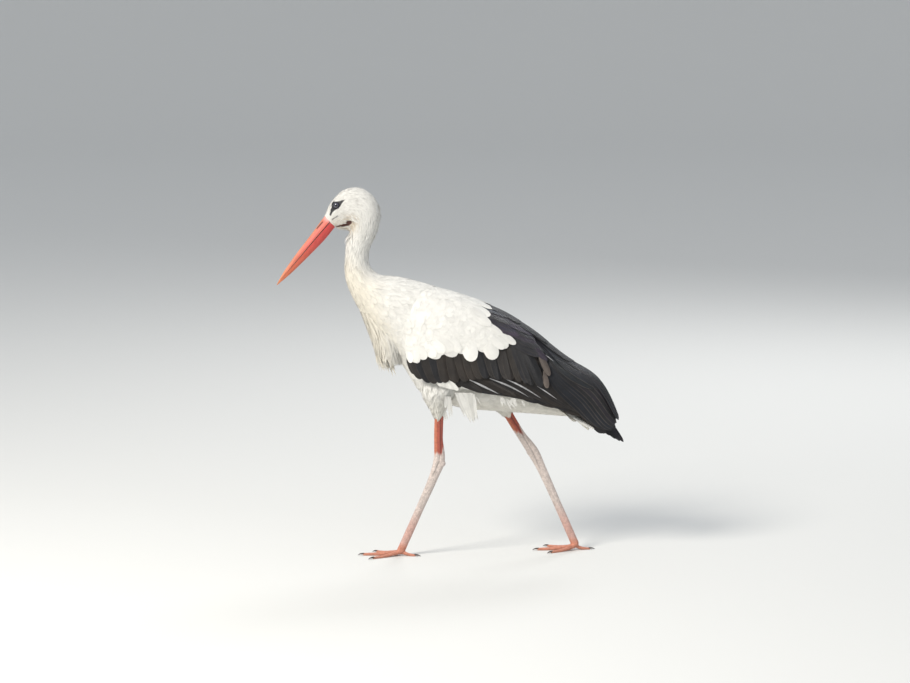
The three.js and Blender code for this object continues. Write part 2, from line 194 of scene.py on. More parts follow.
# %% Sheets
class Sheet:
    """A surface on a fine grid: s runs along it, t round it. Lengths are in metres."""

    def __init__(self, place, closed, steps=(480, 240), outward=1):
        self.steps, self.closed = steps, closed
        s, t = (np.linspace(0, 1, n + 1) for n in steps)
        grid = place(*np.meshgrid(s, t, indexing="ij"))
        self.points = grid
        self.along = np.gradient(grid, 1 / steps[0], axis=0)
        self.round = np.gradient(grid, 1 / steps[1], axis=1)
        if closed:
            seam = (grid[:, 1] - grid[:, -2]) * steps[1] / 2
            self.round[:, 0] = self.round[:, -1] = seam
        self.normals = outward * unit(np.cross(self.along, self.round))
        size = np.linalg.norm(np.cross(self.along, self.round), axis=-1)
        self.area = size / (steps[0] * steps[1])

    def look(self, layer, s, t):
        """The grid's value at s and t, from its four nearest points."""
        t = t % 1 if self.closed else np.clip(t, 0, 1)
        x, y = np.clip(s, 0, 1) * self.steps[0], t * self.steps[1]
        i, j = (np.minimum(v.astype(int), n - 1) for v, n in zip((x, y), self.steps))
        a, b = (x - i)[..., None], (y - j)[..., None]
        near = layer[i, j] * (1 - b) + layer[i, j + 1] * b
        far = layer[i + 1, j] * (1 - b) + layer[i + 1, j + 1] * b
        return near * (1 - a) + far * a

    def at(self, s, t, height=0.0):
        """Places at a height over the sheet. Past an end or edge it runs on straight."""
        past = (s - np.clip(s, 0, 1))[..., None]
        place = self.look(self.points, s, t) + past * self.look(self.along, s, t)
        if not self.closed:
            over = (t - np.clip(t, 0, 1))[..., None]
            place = place + over * self.look(self.round, s, t)
        return place + np.asarray(height)[..., None] * self.look(self.normals, s, t)


# %% [markdown]
# ## The body and the folded wings
# The body's stations run from the bill's base to the root of the tail, closer together where the
# head and neck bend. The coat is hardly there at the bill and 9 mm deep on the body. A folded wing
# lies on the flank like a shield, so its sheet is open: u runs from the wrist to the tips and v
# from the middle of the back down over the flank, and the same formula gives its inner face.

# %% The body's stations
BODY_STATIONS = np.array([
    # back x, z, belly x, z, half width, depth of the coat: all in millimetres
    [-276, 751, -252, 726, 11, 0.6],  # bill's base
    [-262, 781, -243, 720, 18.5, 1.6],  # brow
    [-232, 809, -235, 719.5, 24, 2.6],  # crown
    [-196, 812.5, -227, 718.5, 27, 3.2],
    [-165, 790, -222, 715.5, 28, 3.6],  # back of the head
    [-153.5, 756, -223.5, 708, 27, 4.2],
    [-161.5, 714, -229, 694, 24.5, 5.0],  # top of the neck
    [-177.5, 673, -232, 663, 23, 5.5],
    [-177, 643, -233, 630, 26, 6.0],
    [-158, 623, -228, 600, 34, 7.0],  # foot of the neck
    [-112, 617, -210, 560, 48, 8.0],
    [-50, 601, -182, 515, 61, 9.0],  # shoulders
    [16, 578, -148, 472, 70, 9.0],
    [74, 550, -104, 417, 75, 9.0],  # breast
    [124, 512, -58, 352, 75, 9.0],
    [160, 470, 20, 327, 69, 9.0],  # belly
    [196, 420, 108, 318, 56, 8.5],
    [230, 370, 180, 313, 40, 7.0],  # vent
    [252, 336, 240, 308, 24, 5.0],  # root of the tail
])
LAST_STATION = len(BODY_STATIONS) - 1


def loft_sheet(back, belly, half_width, side=0.0, square=1.0, steps=(480, 240)):
    """A sheet between two outlines. t is 0 on the back, 0.25 on the right, 0.5 on the belly."""
    back, belly, half_width = (smooth_curve(values) for values in (back, belly, half_width))

    def bulge(v):
        return np.sign(v) * np.abs(v) ** square

    def place(s, t):
        angle = 2 * np.pi * t
        top, keel = back(s), belly(s)
        level = (0.5 + 0.5 * bulge(np.cos(angle)))[..., None]
        flat = keel + (top - keel) * level
        across = side + half_width(s)[..., 0] * bulge(np.sin(angle))
        return np.stack([flat[..., 0], across, flat[..., 1]], -1) * MM

    sheet = Sheet(place, closed=True, steps=steps)
    middle = place(np.array([0.5] * 4), np.array([0, 0.25, 0.5, 0.75])).mean(0)
    away = sheet.points[steps[0] // 2, 0] - middle
    if np.dot(away, sheet.normals[steps[0] // 2, 0]) < 0:
        sheet.normals = -sheet.normals
    return sheet


body = loft_sheet(BODY_STATIONS[:, 0:2], BODY_STATIONS[:, 2:4], BODY_STATIONS[:, 4])
body_coat_depth = smooth_curve(BODY_STATIONS[:, 5] * MM)
print("body area in square metres", round(float(body.area.sum()), 3))

# %% The folded wings
WING_STATIONS = np.array([
    # upper edge x, z, lower edge x, z, half width, thickness
    [-92, 594, -102, 452, 70, 8],  # wrist
    [-50, 596, -76, 412, 88, 14],
    [16, 580, -14, 381, 97, 15],
    [96, 549, 58, 361, 97, 15],
    [172, 503, 130, 350, 88, 17],
    [252, 440, 206, 330, 72, 24],
    [326, 390, 290, 300, 52, 26],  # ends of the tertials
    [368, 305, 338, 269, 32, 18],
    [382, 253, 380, 251, 12, 8],  # tips of the primaries
])
WING_TOP, WING_BOTTOM = math.radians(2), math.radians(122)
WING_FULLNESS = 0.75
wing_upper = smooth_curve(WING_STATIONS[:, 0:2])
wing_lower = smooth_curve(WING_STATIONS[:, 2:4])
wing_half_width = smooth_curve(WING_STATIONS[:, 4])
wing_thickness = smooth_curve(WING_STATIONS[:, 5])


def wing_place(hand, inside=0.0):
    """The left (-1) or right (1) wing's surface; inside goes from its outer face to its inner."""

    def place(u, v):
        angle = WING_TOP + (WING_BOTTOM - WING_TOP) * v
        drop = math.cos(WING_TOP) - math.cos(WING_BOTTOM)
        down = (math.cos(WING_TOP) - np.cos(angle)) / drop
        level = math.cos(WING_TOP) / drop
        half = wing_half_width(u)[..., 0]
        inner = np.maximum(0.03, 1 - inside * wing_thickness(u)[..., 0] / half)
        share = (level + (down - level) * (0.2 + 0.8 * inner))[..., None]
        flat = wing_upper(u) * (1 - share) + wing_lower(u) * share
        across = hand * np.maximum(1, half * np.sin(angle) ** WING_FULLNESS * inner)
        return np.stack([flat[..., 0], across, flat[..., 1]], -1) * MM

    return place


wings = {hand: Sheet(wing_place(hand), closed=False, outward=hand) for hand in (-1, 1)}
print("wing area", [round(float(sheet.area.sum()), 3) for sheet in wings.values()])

# %% [markdown]
# ## Colours of the plumage
# White storks are white with black flight feathers. The join on the folded wing is scalloped,
# because each white covert ends in its own round tip over the black ones. Worn black feathers go
# brown, fresh ones have a blue and purple gloss, and the neck and breast plumes are creamy. One
# function gives the colour at a place, and the skin and the coat both use it.

# %% Markings
WHITE = np.array([0.86, 0.845, 0.80])
CREAM = np.array([0.80, 0.72, 0.56])
SHADED_WHITE = np.array([0.74, 0.70, 0.60])
CHEEK_SHADE_BUFF = np.array([0.52, 0.38, 0.21])
BLACK = np.array([0.013, 0.013, 0.017])
BROWN_BLACK = np.array([0.045, 0.034, 0.027])
BARE_BLACK = np.array([0.010, 0.010, 0.013])
# the jaw's bare red skin, darkened with painted shade from the cheek above it
SHADED_THROAT_RED = np.array([0.070, 0.022, 0.015])

# Where the white of a wing ends: a height round the wing (v) and how far back it reaches (u).
WHITE_ENDS = np.array([
    (0, 0.36), (0.14, 0.335), (0.165, 0.352), (0.235, 0.365), (0.295, 0.355), (0.33, 0.362),
    (0.345, 0.385), (0.355, 0.42), (0.455, 0.443), (0.52, 0.42), (0.55, 0.405), (0.575, 0.35),
    (0.655, 0.30), (0.68, 0.265), (0.705, 0.235), (0.805, 0.172), (0.87, 0.135), (0.945, 0.08),
    (1.0, 0.03),
])


def white_on_wing(u, v):
    return u < np.interp(v, *WHITE_ENDS.T)


# The bare black patch round the eye, in the side view, in millimetres.
EYE = Vector((-249 * MM, 12.3 * MM, 775 * MM))
EYE_RADIUS = 8.1 * MM
BARE_FACE = np.array([
    [-259, 781], [-256, 783.2], [-251, 783.8], [-243, 785], [-230, 789.5], [-237, 781],
    [-242, 773], [-247, 767.5], [-253, 765], [-258, 760.5], [-261.8, 752.5], [-265.2, 752.5],
    [-263.2, 761], [-261.8, 770], [-260.6, 776],
])
# The bare skin of the jaw, from the bill's corner back under the cheek.
THROAT = np.array([
    [-251, 727.6], [-240, 727.8], [-232, 729], [-223, 731.5], [-216, 737], [-216.5, 742.5],
    [-222, 744], [-229, 741], [-235, 735.5], [-242, 732], [-251, 730.2],
])
STRIPE = np.array([[-259.5, 743.0], [-254, 748.0], [-247, 751.5]])  # dark feathers behind the gape


# %% Distances in the side view, in millimetres
def from_segment(start, end, x, z):
    (x0, z0), (x1, z1) = start, end
    run, climb = x1 - x0, z1 - z0
    along = np.clip(((x - x0) * run + (z - z0) * climb) / (run**2 + climb**2), 0, 1)
    return np.hypot(x - x0 - along * run, z - z0 - along * climb)


def from_line(line, x, z):
    return np.min([from_segment(*ends, x, z) for ends in zip(line, line[1:])], axis=0)


def inside_outline(outline, x, z):
    """Distance to a closed outline, negative inside it."""
    within = np.zeros(np.shape(x), bool)
    for (x0, z0), (x1, z1) in zip(outline, np.roll(outline, -1, axis=0)):
        crosses = (z0 > z) != (z1 > z)
        within ^= crosses & (x < x0 + (z - z0) * (x1 - x0) / np.where(z1 == z0, 1e-9, z1 - z0))
    away = from_line(np.vstack([outline, outline[:1]]), x, z)
    return np.where(within, -away, away)


# %% The colour at a place
def in_mm(places):
    return (places[..., i] / MM for i in range(3))


def towards(colour, other, share):
    """Colours moved towards another by a share at each place."""
    return colour + (other - colour) * share[..., None]


def darker(colour, share):
    return colour * (1 - share)[..., None]


def near_to(distance, width):
    """1 at no distance, falling away smoothly over about a width."""
    return np.exp(-((distance / width) ** 2))


def body_colour(places):
    """The plumage's colour at each place on the head, neck, trunk, thighs and tail."""
    x, y, z = in_mm(places)
    colour = np.broadcast_to(WHITE, places.shape).copy()
    front = blend(-150, -215, x + 0.35 * (z - 600)) * blend(700, 640, z) * blend(330, 420, z)
    colour += (CREAM - WHITE) * (0.55 * front)[..., None]
    under = blend(400, 330, z)
    colour += (SHADED_WHITE - WHITE) * (0.5 * under)[..., None]
    # buff streaks round the throat patch: partly the cheek feathers' creamy-brown tips, partly their
    # shadow over the throat, painted in
    cheek = blend(24, 1, inside_outline(THROAT, x, z)) * blend(5, 11, np.abs(y)) * blend(690, 715, z)
    streaks = 0.5 + 0.5 * np.sin(1.7 * z - 0.8 * x + 1.5 * np.sin(0.3 * x))
    colour = towards(colour, CHEEK_SHADE_BUFF, 0.60 * cheek * streaks)
    # painted shade: grey streaks that stand for the shadows between the neck's feathers
    neck = blend(610, 650, z) * blend(745, 700, z) * blend(-150, -172, x) * blend(4, 12, np.abs(y))
    waves = np.sin(1.15 * x + 0.5 * y + 1.8 * np.sin(0.045 * z)) * np.sin(0.09 * z + 0.2 * x)
    colour = darker(colour, 0.16 * neck * blend(0.1, 1.0, waves))
    stripe = near_to(from_line(STRIPE, x, z), 1.1) * (np.abs(y) > 6)
    return darker(colour, 0.72 * stripe)


crown = body_colour(body.at(np.array([0.11]), np.array([0.0])))[0]
print("colour of the crown", crown.round(2))

# %% [markdown]
# ## Feather blanks
# One feather is a thin closed blade: a narrow root, two vanes and a low ridge for the shaft. A
# blank is drawn out of a small ring of points by extruding it step by step, and its outline is
# then pinched in. The coat repeats a few blanks thousands of times, so each has only a few dozen
# faces; soft plumage uses a blank of several narrow locks instead of one hard-edged blade.


# %% Blanks
RING_SMALL = [(-0.5, 0.0), (0.0, 1.0), (0.5, 0.0)]
RING_LARGE = [
    (-0.5, 0.0), (-0.44, 0.45), (-0.2, 0.9), (-0.025, 0.9), (0.0, 1.3), (0.025, 0.9), (0.2, 0.9),
    (0.44, 0.45), (0.5, 0.0), (0.0, -0.35),
]


def blade_stops(steps):
    """Stops along a blade, closer together where its tip rounds off."""
    return 1 - (1 - np.arange(steps + 1) / steps) ** 1.45


def drawn_blade(steps, ring):
    """A blade 1 long, drawn out of a ring of (across, up) points."""
    bm = bmesh.new()
    front = [bm.verts.new((0, y, z)) for y, z in ring]
    edges = [bm.edges.new((front[i - 1], front[i])) for i in range(len(front))]
    bmesh.ops.contextual_create(bm, geom=edges)
    for step in np.diff(blade_stops(steps)):
        front, edges = drawn_out(bm, edges)
        bmesh.ops.translate(bm, verts=front, vec=(step, 0, 0))
    bmesh.ops.pointmerge(bm, verts=front, merge_co=(1, 0, 0))
    bmesh.ops.recalc_face_normals(bm, faces=bm.faces)
    return bm


class Blank:
    """A feather's shape as arrays, ready to be repeated."""

    def __init__(self, steps, outline, ring=RING_SMALL, ragged=0.0):
        bm = drawn_blade(steps, ring)
        bm.verts.index_update()
        self.verts = np.array([v.co[:] for v in bm.verts])
        self.loops = np.array([v.index for face in bm.faces for v in face.verts])
        self.sizes = np.array([len(face.verts) for face in bm.faces])
        under = [max(v.co.z for v in face.verts) <= 0 for face in bm.faces]
        self.under = np.repeat(under, self.sizes)
        bm.free()
        self.ring = self.verts[:, 1].copy()
        x = self.verts[:, 0]
        step = np.abs(x[:, None] - blade_stops(steps)).argmin(1)
        edge = self.verts[:, 1] > 0
        tear = 1 - ragged * DRAWS.random((steps + 1, 2)) * (np.arange(steps + 1)[:, None] / steps)
        self.verts[:, 1] *= outline(x) * tear[step, edge.astype(int)]
        self.verts[:, 2] *= np.where(self.verts[:, 2] > 0, np.sqrt(np.clip(1 - x, 0.05, 1)), 1)
        self.mark_stops()

    def mark_stops(self):
        self.stops, self.at_stop = np.unique(np.round(self.verts[:, 0], 3), return_inverse=True)
        self.triangles = int((self.sizes - 2).sum())


def locks(blanks, spread, narrow):
    """Several blades from one root, fanned out: the split end of a soft feather."""
    whole = object.__new__(Blank)  # a blank put together from others, not drawn
    verts, loops, sizes, under, rings, count = [], [], [], [], [], 0
    for i, blade in enumerate(blanks):
        side = i / (len(blanks) - 1) - 0.5
        reach = 1 - 0.35 * abs(side) - 0.12 * DRAWS.random()
        own = blade.verts.copy()
        own[:, 1] = own[:, 1] * narrow + side * spread * own[:, 0] ** 1.25
        own[:, 0] *= reach
        own[:, 2] += 0.35 * (i % 2)
        verts.append(own)
        loops.append(blade.loops + count)
        sizes.append(blade.sizes)
        under.append(blade.under)
        rings.append(blade.ring)
        count += len(own)
    whole.verts, whole.loops, whole.sizes, whole.under, whole.ring = (
        np.concatenate(parts) for parts in (verts, loops, sizes, under, rings)
    )
    whole.mark_stops()
    return whole


# %% Outlines of the small feathers
def closing(x, start, power):
    """1 up to start, then down to 0 at the tip; the higher the power, the later it falls."""
    return np.clip(1 - np.clip((x - start) / (1 - start), 0, 1) ** power, 0, 1)


def rounded(x):
    return (0.22 + 0.78 * blend(0, 0.45, x)) * np.sqrt(closing(x, 0.62, 2.4))


def pointed(x):
    return (0.30 + 0.70 * blend(0, 0.35, x)) * closing(x, 0.35, 1.7)


CONTOUR = [Blank(8, rounded, ragged=0.12) for _ in range(5)]
LANCE = [Blank(5, pointed, ragged=0.15) for _ in range(4)]
SOFT = [locks([Blank(4, pointed) for _ in range(3)], 0.7, 0.5) for _ in range(4)]
print("triangles", [kind[0].triangles for kind in (CONTOUR, LANCE, SOFT)])

# %% [markdown]
# ## Laying the coat
# Roots are spread evenly, a feather's spacing apart. Each feather then walks along the lie of the
# coat from its root, so it bends with the body under it, and rises slowly from the skin to its
# tip. Because every feather rises in the same way, the ones in front always cover the roots of
# the ones behind, as tiles do. Each piece of coat also gets a small map, where a feather has its
# own patch at its root's place on the unwrapped skin.


# %% Spread the roots
def scatter(sheet, spacing, keep):
    """Evenly spread (s, t) roots, at least a spacing apart, where keep(places, s, t) allows."""
    s, t = np.meshgrid(*(np.linspace(0, 1, n + 1) for n in sheet.steps), indexing="ij")
    weight = sheet.area * keep(sheet.points, s, t)
    count = int(7 * weight.sum() / spacing**2)
    cells = DRAWS.choice(weight.size, size=count, p=(weight / weight.sum()).ravel())
    jitter = DRAWS.random((2, count)) - 0.5
    s = np.clip(s.ravel()[cells] + jitter[0] / sheet.steps[0], 0, 1)
    t = np.clip(t.ravel()[cells] + jitter[1] / sheet.steps[1], 0, 1)
    places = sheet.at(s, t)
    taken, chosen = {}, []
    keys = np.floor(places / spacing).astype(int)
    for i, (place, key) in enumerate(zip(places, map(tuple, keys))):
        near = (
            place - other
            for a in (-1, 0, 1) for b in (-1, 0, 1) for c in (-1, 0, 1)
            for other in taken.get((key[0] + a, key[1] + b, key[2] + c), ())
        )
        if all(gap[0] ** 2 + gap[1] ** 2 + gap[2] ** 2 > spacing**2 for gap in near):
            taken.setdefault(key, []).append(place)
            chosen.append(i)
    return s[chosen], t[chosen]


# %% Draw each feather's path along the sheet
def in_steps(way, along, across):
    """A direction along a sheet, as steps of s and t for each metre."""
    e, f, g = ((p * q).sum(-1) for p, q in ((along, along), (along, across), (across, across)))
    area = np.maximum(e * g - f * f, 1e-14)  # never 0, where a sheet closes to a point
    p, q = (way * along).sum(-1), (way * across).sum(-1)
    return (g * p - f * q) / area, (e * q - f * p) / area


def walked(sheet, stops, s, t, turn, hook, length):
    """Paths that leave s, t at an angle off the lie: (s, t, and the step beside) at each stop."""
    path = []
    for i, stop in enumerate(stops):
        along, across = sheet.look(sheet.along, s, t), sheet.look(sheet.round, s, t)
        forward = unit(along)
        sideways = np.cross(sheet.look(sheet.normals, s, t), forward)
        angle = (turn + hook * stop)[:, None]
        beside = np.cos(angle) * sideways - np.sin(angle) * forward
        path.append((s, t, *in_steps(beside, along, across)))
        if i + 1 < len(stops):
            ahead = np.cos(angle) * forward + np.sin(angle) * sideways
            ds, dt = in_steps(ahead, along, across)
            far = (stops[i + 1] - stop) * length
            s, t = s + ds * far, t + dt * far
    return np.array(path).transpose(1, 0, 2)


def drawn(sheet, stops, root, tip, bow):
    """Paths from roots to tips, both (s, t), bowed sideways by a share of their length."""
    x = stops[:, None]
    way = tip - root
    s, t = (root[:, i] + way[:, i] * x for i in (0, 1))
    along, across = sheet.look(sheet.along, s, t), sheet.look(sheet.round, s, t)
    run = along * way[:, :1] + across * way[:, 1:]
    length = np.linalg.norm(run, axis=-1).mean(0)
    beside = np.cross(sheet.look(sheet.normals, s, t), unit(run))
    ds, dt = in_steps(beside, along, across)
    aside = bow * length * 4 * x * (1 - x)
    return np.array([s + ds * aside, t + dt * aside, ds, dt]), length


def lay(sheet, blank, path, width, rise, thick, roll=0.0, crown=0.5):
    """Places and soft outward directions of every point of feathers, each (feather, point, 3).

    rise is the (root, tip) height; roll lifts one edge of each feather over its neighbour; crown
    is how far the light rolls over its edges, as over a vane that curves down at both sides.
    """
    x, y, z = blank.verts.T
    base_s, base_t, side_s, side_t = (part[blank.at_stop].T for part in path)
    off = y * width[:, None]
    low, high = (np.broadcast_to(h, width.shape)[:, None] for h in rise)
    height = low + (high - low) * (1 - (1 - x) ** 1.6) + z * thick + roll * off
    s, t = base_s + off * side_s, base_t + off * side_t
    along, across = sheet.look(sheet.along, s, t), sheet.look(sheet.round, s, t)
    beside = unit(along * side_s[..., None] + across * side_t[..., None])
    facing = sheet.look(sheet.normals, s, t) + beside * (2 * crown * y - roll)[:, None]
    return sheet.at(s, t, height), unit(facing)


# %% [markdown]
# ## One mesh for a whole piece of coat
# Thousands of feather objects would be slow to draw and awkward to print, so the feathers of one
# region are gathered as arrays and become a single mesh. Each point keeps its own colour, each
# corner keeps its soft outward direction and its two maps, and the piece is finished once.


# %% A piece of coat
def paint(mesh, name, colour, alpha=None):
    """Give each point of a mesh its colour, as an attribute that the mesh's finish reads."""
    alpha = np.ones(len(colour)) if alpha is None else alpha
    layer = mesh.color_attributes.new(name, "FLOAT_COLOR", "POINT")
    layer.data.foreach_set("color", np.c_[colour, alpha].astype(np.float32).ravel())


class Coat:
    """Feathers gathered into one piece, with their colours and both maps."""

    PATCH = 0.003  # the side of a feather's own patch on the baked map
    VANE_UNIT = 50 * MM  # the length that the barbs' map counts as 1

    def __init__(self):
        self.parts, self.loops_from = [], 0

    def add(self, blank, laid, length, width, patch, root_colour, tip_colour, edge=None):
        """patch is each root's place on the unwrapped skin, from 0 to 1; edge colours the rims."""
        places, facing = laid
        count, points = places.shape[:2]
        x, y = blank.verts[:, 0], blank.verts[:, 1]
        loops = (np.arange(count)[:, None] * points + blank.loops + self.loops_from).ravel()
        self.loops_from += count * points
        vane = [y[blank.loops] * width[:, None], x[blank.loops] * length[:, None]]
        vane = np.stack(vane, -1) / self.VANE_UNIT
        # the upper side has one half of the patch, the under side the other
        beside = 0.48 * (np.clip(y, -0.5, 0.5) + 0.5)[blank.loops] + 0.52 * blank.under
        own = np.stack([beside, x[blank.loops]], -1)
        baked = np.clip(patch, 0.004, 0.996)[:, None, :] + self.PATCH * (own - 0.5)
        share = (x**1.5)[None, :, None]
        colour = root_colour[:, None, :] * (1 - share) + tip_colour[:, None, :] * share
        if edge is not None:
            colour = colour + (edge - colour) * (np.abs(blank.ring) > 0.49)[None, :, None] * share
        lit = facing[:, blank.loops] * np.where(blank.under, -1, 1)[:, None]
        columns = (places, loops, np.tile(blank.sizes, count), vane, baked, colour, lit)
        self.parts.append([c.reshape(-1, c.shape[-1]) if c.ndim > 1 else c for c in columns])

    def finish(self, name, material, slot="white_plumage"):
        verts, loops, sizes, vane, baked, colour, lit = (
            np.concatenate(column) for column in zip(*self.parts)
        )
        starts = np.concatenate([[0], np.cumsum(sizes)[:-1]])
        mesh = bpy.data.meshes.new(name)
        mesh.vertices.add(len(verts))
        mesh.vertices.foreach_set("co", verts.astype(np.float32).ravel())
        mesh.loops.add(len(loops))
        mesh.loops.foreach_set("vertex_index", loops.astype(np.int32))
        mesh.polygons.add(len(sizes))
        mesh.polygons.foreach_set("loop_start", starts.astype(np.int32))
        mesh.polygons.foreach_set("use_smooth", np.ones(len(sizes), bool))
        mesh.update(calc_edges=True)
        for layer, values in (("vane", vane), ("OFBake", baked)):
            uv_map = mesh.uv_layers.new(name=layer)
            uv_map.data.foreach_set("uv", values.astype(np.float32).ravel())
        paint(mesh, "plumage", colour)
        mesh.normals_split_custom_set(lit.astype(np.float32))
        mesh.materials.append(material)
        piece = new_object(name, mesh)
        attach(piece, "root")
        print(name, "triangles", int((sizes - 2).sum()))
        return piece


# %% [markdown]
# ## Plumage finish
# A vane is hundreds of fine barbs set at a slant to the shaft. The finish reads each feather's own
# map, so the barbs slant the right way on both sides of its shaft, and it lets the colour set for
# each feather through with a little unevenness. White plumage is matt, and black flight feathers
# have a low gloss.


# %% Helpers for node trees
def node(tree, kind, inputs=(), **settings):
    """A new shader node. An input is given a number, a colour, or another node's output."""
    made = tree.nodes.new("ShaderNode" + kind)
    for name, value in settings.items():
        setattr(made, name, value)
    connect(made, dict(inputs))
    return made.outputs


def connect(target, inputs):
    for name, value in inputs.items():
        if isinstance(value, bpy.types.NodeSocket):
            target.id_data.links.new(value, target.inputs[name])
        else:
            target.inputs[name].default_value = value


def calculated(tree, operation, *values):
    return node(tree, "Math", dict(enumerate(values)), operation=operation)[0]


def ranged(tree, value, low, high, start=0.0, end=1.0):
    """A number that runs from start to end, made to run from low to high."""
    ends = {"From Min": start, "From Max": end, "To Min": low, "To Max": high}
    return node(tree, "MapRange", {"Value": value, **ends})["Result"]


def noise(tree, place, scale, detail):
    return node(tree, "TexNoise", {"Vector": place, "Scale": scale, "Detail": detail})["Fac"]


def tinted(tree, colour, amount):
    return node(tree, "VectorMath", {0: colour, "Scale": amount}, operation="SCALE")[0]


def bumped(tree, height, strength, distance):
    return node(tree, "Bump", {"Height": height, "Strength": strength, "Distance": distance})[0]


# %% Plumage materials
BARBS = 55  # waves for each unit of the vane's map
BARB_SLANT, BARB_WANDER = 1.3, 0.09
NOISE_RANGE = (0.3, 0.7)  # a noise seldom leaves these bounds


def plumage_material(name, roughness, barb_depth, gloss, unevenness):
    material, tree, shader = new_material(name)
    vane = node(tree, "SeparateXYZ", {0: node(tree, "UVMap", uv_map="vane")["UV"]})
    clump = noise(tree, node(tree, "TexCoord")["Object"], 55, 3)
    from_shaft = calculated(tree, "ABSOLUTE", vane["X"])
    slant = calculated(tree, "MULTIPLY_ADD", from_shaft, -BARB_SLANT, vane["Y"])
    wander = calculated(tree, "MULTIPLY_ADD", clump, BARB_WANDER, slant)
    waves = calculated(tree, "MULTIPLY", wander, 2 * math.pi * BARBS)
    barbs = calculated(tree, "SINE", waves)
    lines = ranged(tree, barbs, 1 - unevenness, 1, start=-1)
    mottle = ranged(tree, clump, 1 - 0.9 * unevenness, 1 + 0.4 * unevenness, *NOISE_RANGE)
    shade = node(tree, "Attribute", attribute_name="plumage")["Color"]
    connect(shader, {
        "Base Color": tinted(tree, shade, calculated(tree, "MULTIPLY", lines, mottle)),
        "Normal": bumped(tree, barbs, barb_depth, 0.0004),
        "Roughness": ranged(tree, clump, roughness - 0.08, roughness + 0.08),
        "Specular IOR Level": gloss,
    })
    print(name, "nodes", len(tree.nodes))
    return material


white_plumage = plumage_material("white_plumage", 0.82, 0.45, 0.25, 0.07)
black_plumage = plumage_material("black_plumage", 0.50, 0.6, 0.45, 0.45)

# %% [markdown]
# ## Skin
# Feathers are thin, so something must close the view between them. One skin runs from the bill's
# base to the tail, most of a coat's depth inside the body's sheet. On the face the skin itself
# shows: a bare black patch round the eye, and lids that stand up round the eyeball.


# %% Skin
def even_steps(sheet, size):
    """Values of s that step along the sheet by about size(s) metres."""
    s = np.linspace(0, 1, 600)
    places = np.meshgrid(s, np.linspace(0, 1, 9)[:-1], indexing="ij")
    reach = np.linalg.norm(sheet.look(sheet.along, *places), axis=-1).max(1)
    rings = np.concatenate([[0], np.cumsum((reach / size(s))[1:] * np.diff(s))])
    return np.interp(np.linspace(0, rings[-1], int(rings[-1]) + 2), rings, s)


def shut(bm, places, gap):
    """Put a grid's points in their places, join those that meet, and close the open ends."""
    for vert, place in zip(bm.verts, places):
        vert.co = place
    bmesh.ops.remove_doubles(bm, verts=bm.verts, dist=gap)
    rims = [edge for edge in bm.edges if edge.is_boundary]
    bmesh.ops.holes_fill(bm, edges=rims, sides=0)
    bmesh.ops.recalc_face_normals(bm, faces=bm.faces)


def wrapped(sheet, s, round_count, height):
    """A grid wrapped round a closed sheet and closed at both ends, as a bmesh."""
    bm = bmesh.new()
    bmesh.ops.create_grid(bm, x_segments=len(s) - 1, y_segments=round_count, size=0.5)
    co = np.array([v.co[:2] for v in bm.verts]) + 0.5
    own_s, own_t = np.interp(co[:, 0], np.linspace(0, 1, len(s)), s), co[:, 1]
    places = sheet.at(own_s, own_t, height(own_s, own_t, sheet.at(own_s, own_t)))
    shut(bm, places, 1e-7)
    return bm


# %% The body's skin
def face_folds(places):
    """How far the skin stands above its plain depth: lids, socket, brow and throat folds."""
    x, y, z = in_mm(places)
    from_eye = np.hypot(x - EYE.x / MM, z - EYE.z / MM)
    lid = 3.1 * near_to(from_eye - 7.1, 1.0) + 0.6 * near_to(from_eye - 9.6, 0.8)
    socket = -5.0 * blend(6.4, 5.0, from_eye)
    brow = np.exp(-(((x + 246) / 12) ** 2 + ((z - 787) / 2.6) ** 2))
    wrinkles = 0.45 * np.sin(1.9 * z + 0.5 * x) * blend(1, -1.5, inside_outline(THROAT, x, z))
    return np.where(np.abs(y) > 4, lid + socket + brow + wrinkles, 0) * MM


def skin_height(s, t, places):
    return -0.85 * body_coat_depth(s)[..., 0] + face_folds(places)


def ring_spacing(s):
    """About how far apart the skin's rings lie: close on the face, wide on the trunk."""
    return np.interp(s * LAST_STATION, [0, 2.4, 4, 9, 12, 18], [0.9, 1.1, 2.2, 4.0, 7.0, 7.0]) * MM


SKIN_COLUMNS = 132
skin_bm = wrapped(body, even_steps(body, ring_spacing), SKIN_COLUMNS, skin_height)
print("skin faces", len(skin_bm.faces))

# %% [markdown]
# ## Growing a field of feathers
# On a real bird no two neighbouring feathers are quite the same length, lie or shade, and a coat
# of perfect copies looks like roof tiles. So every root draws its own small changes. The roots
# keep off the bare face and throat, and off the flanks where a folded wing hides them, because
# feathers that nobody can see would only make the file heavy.


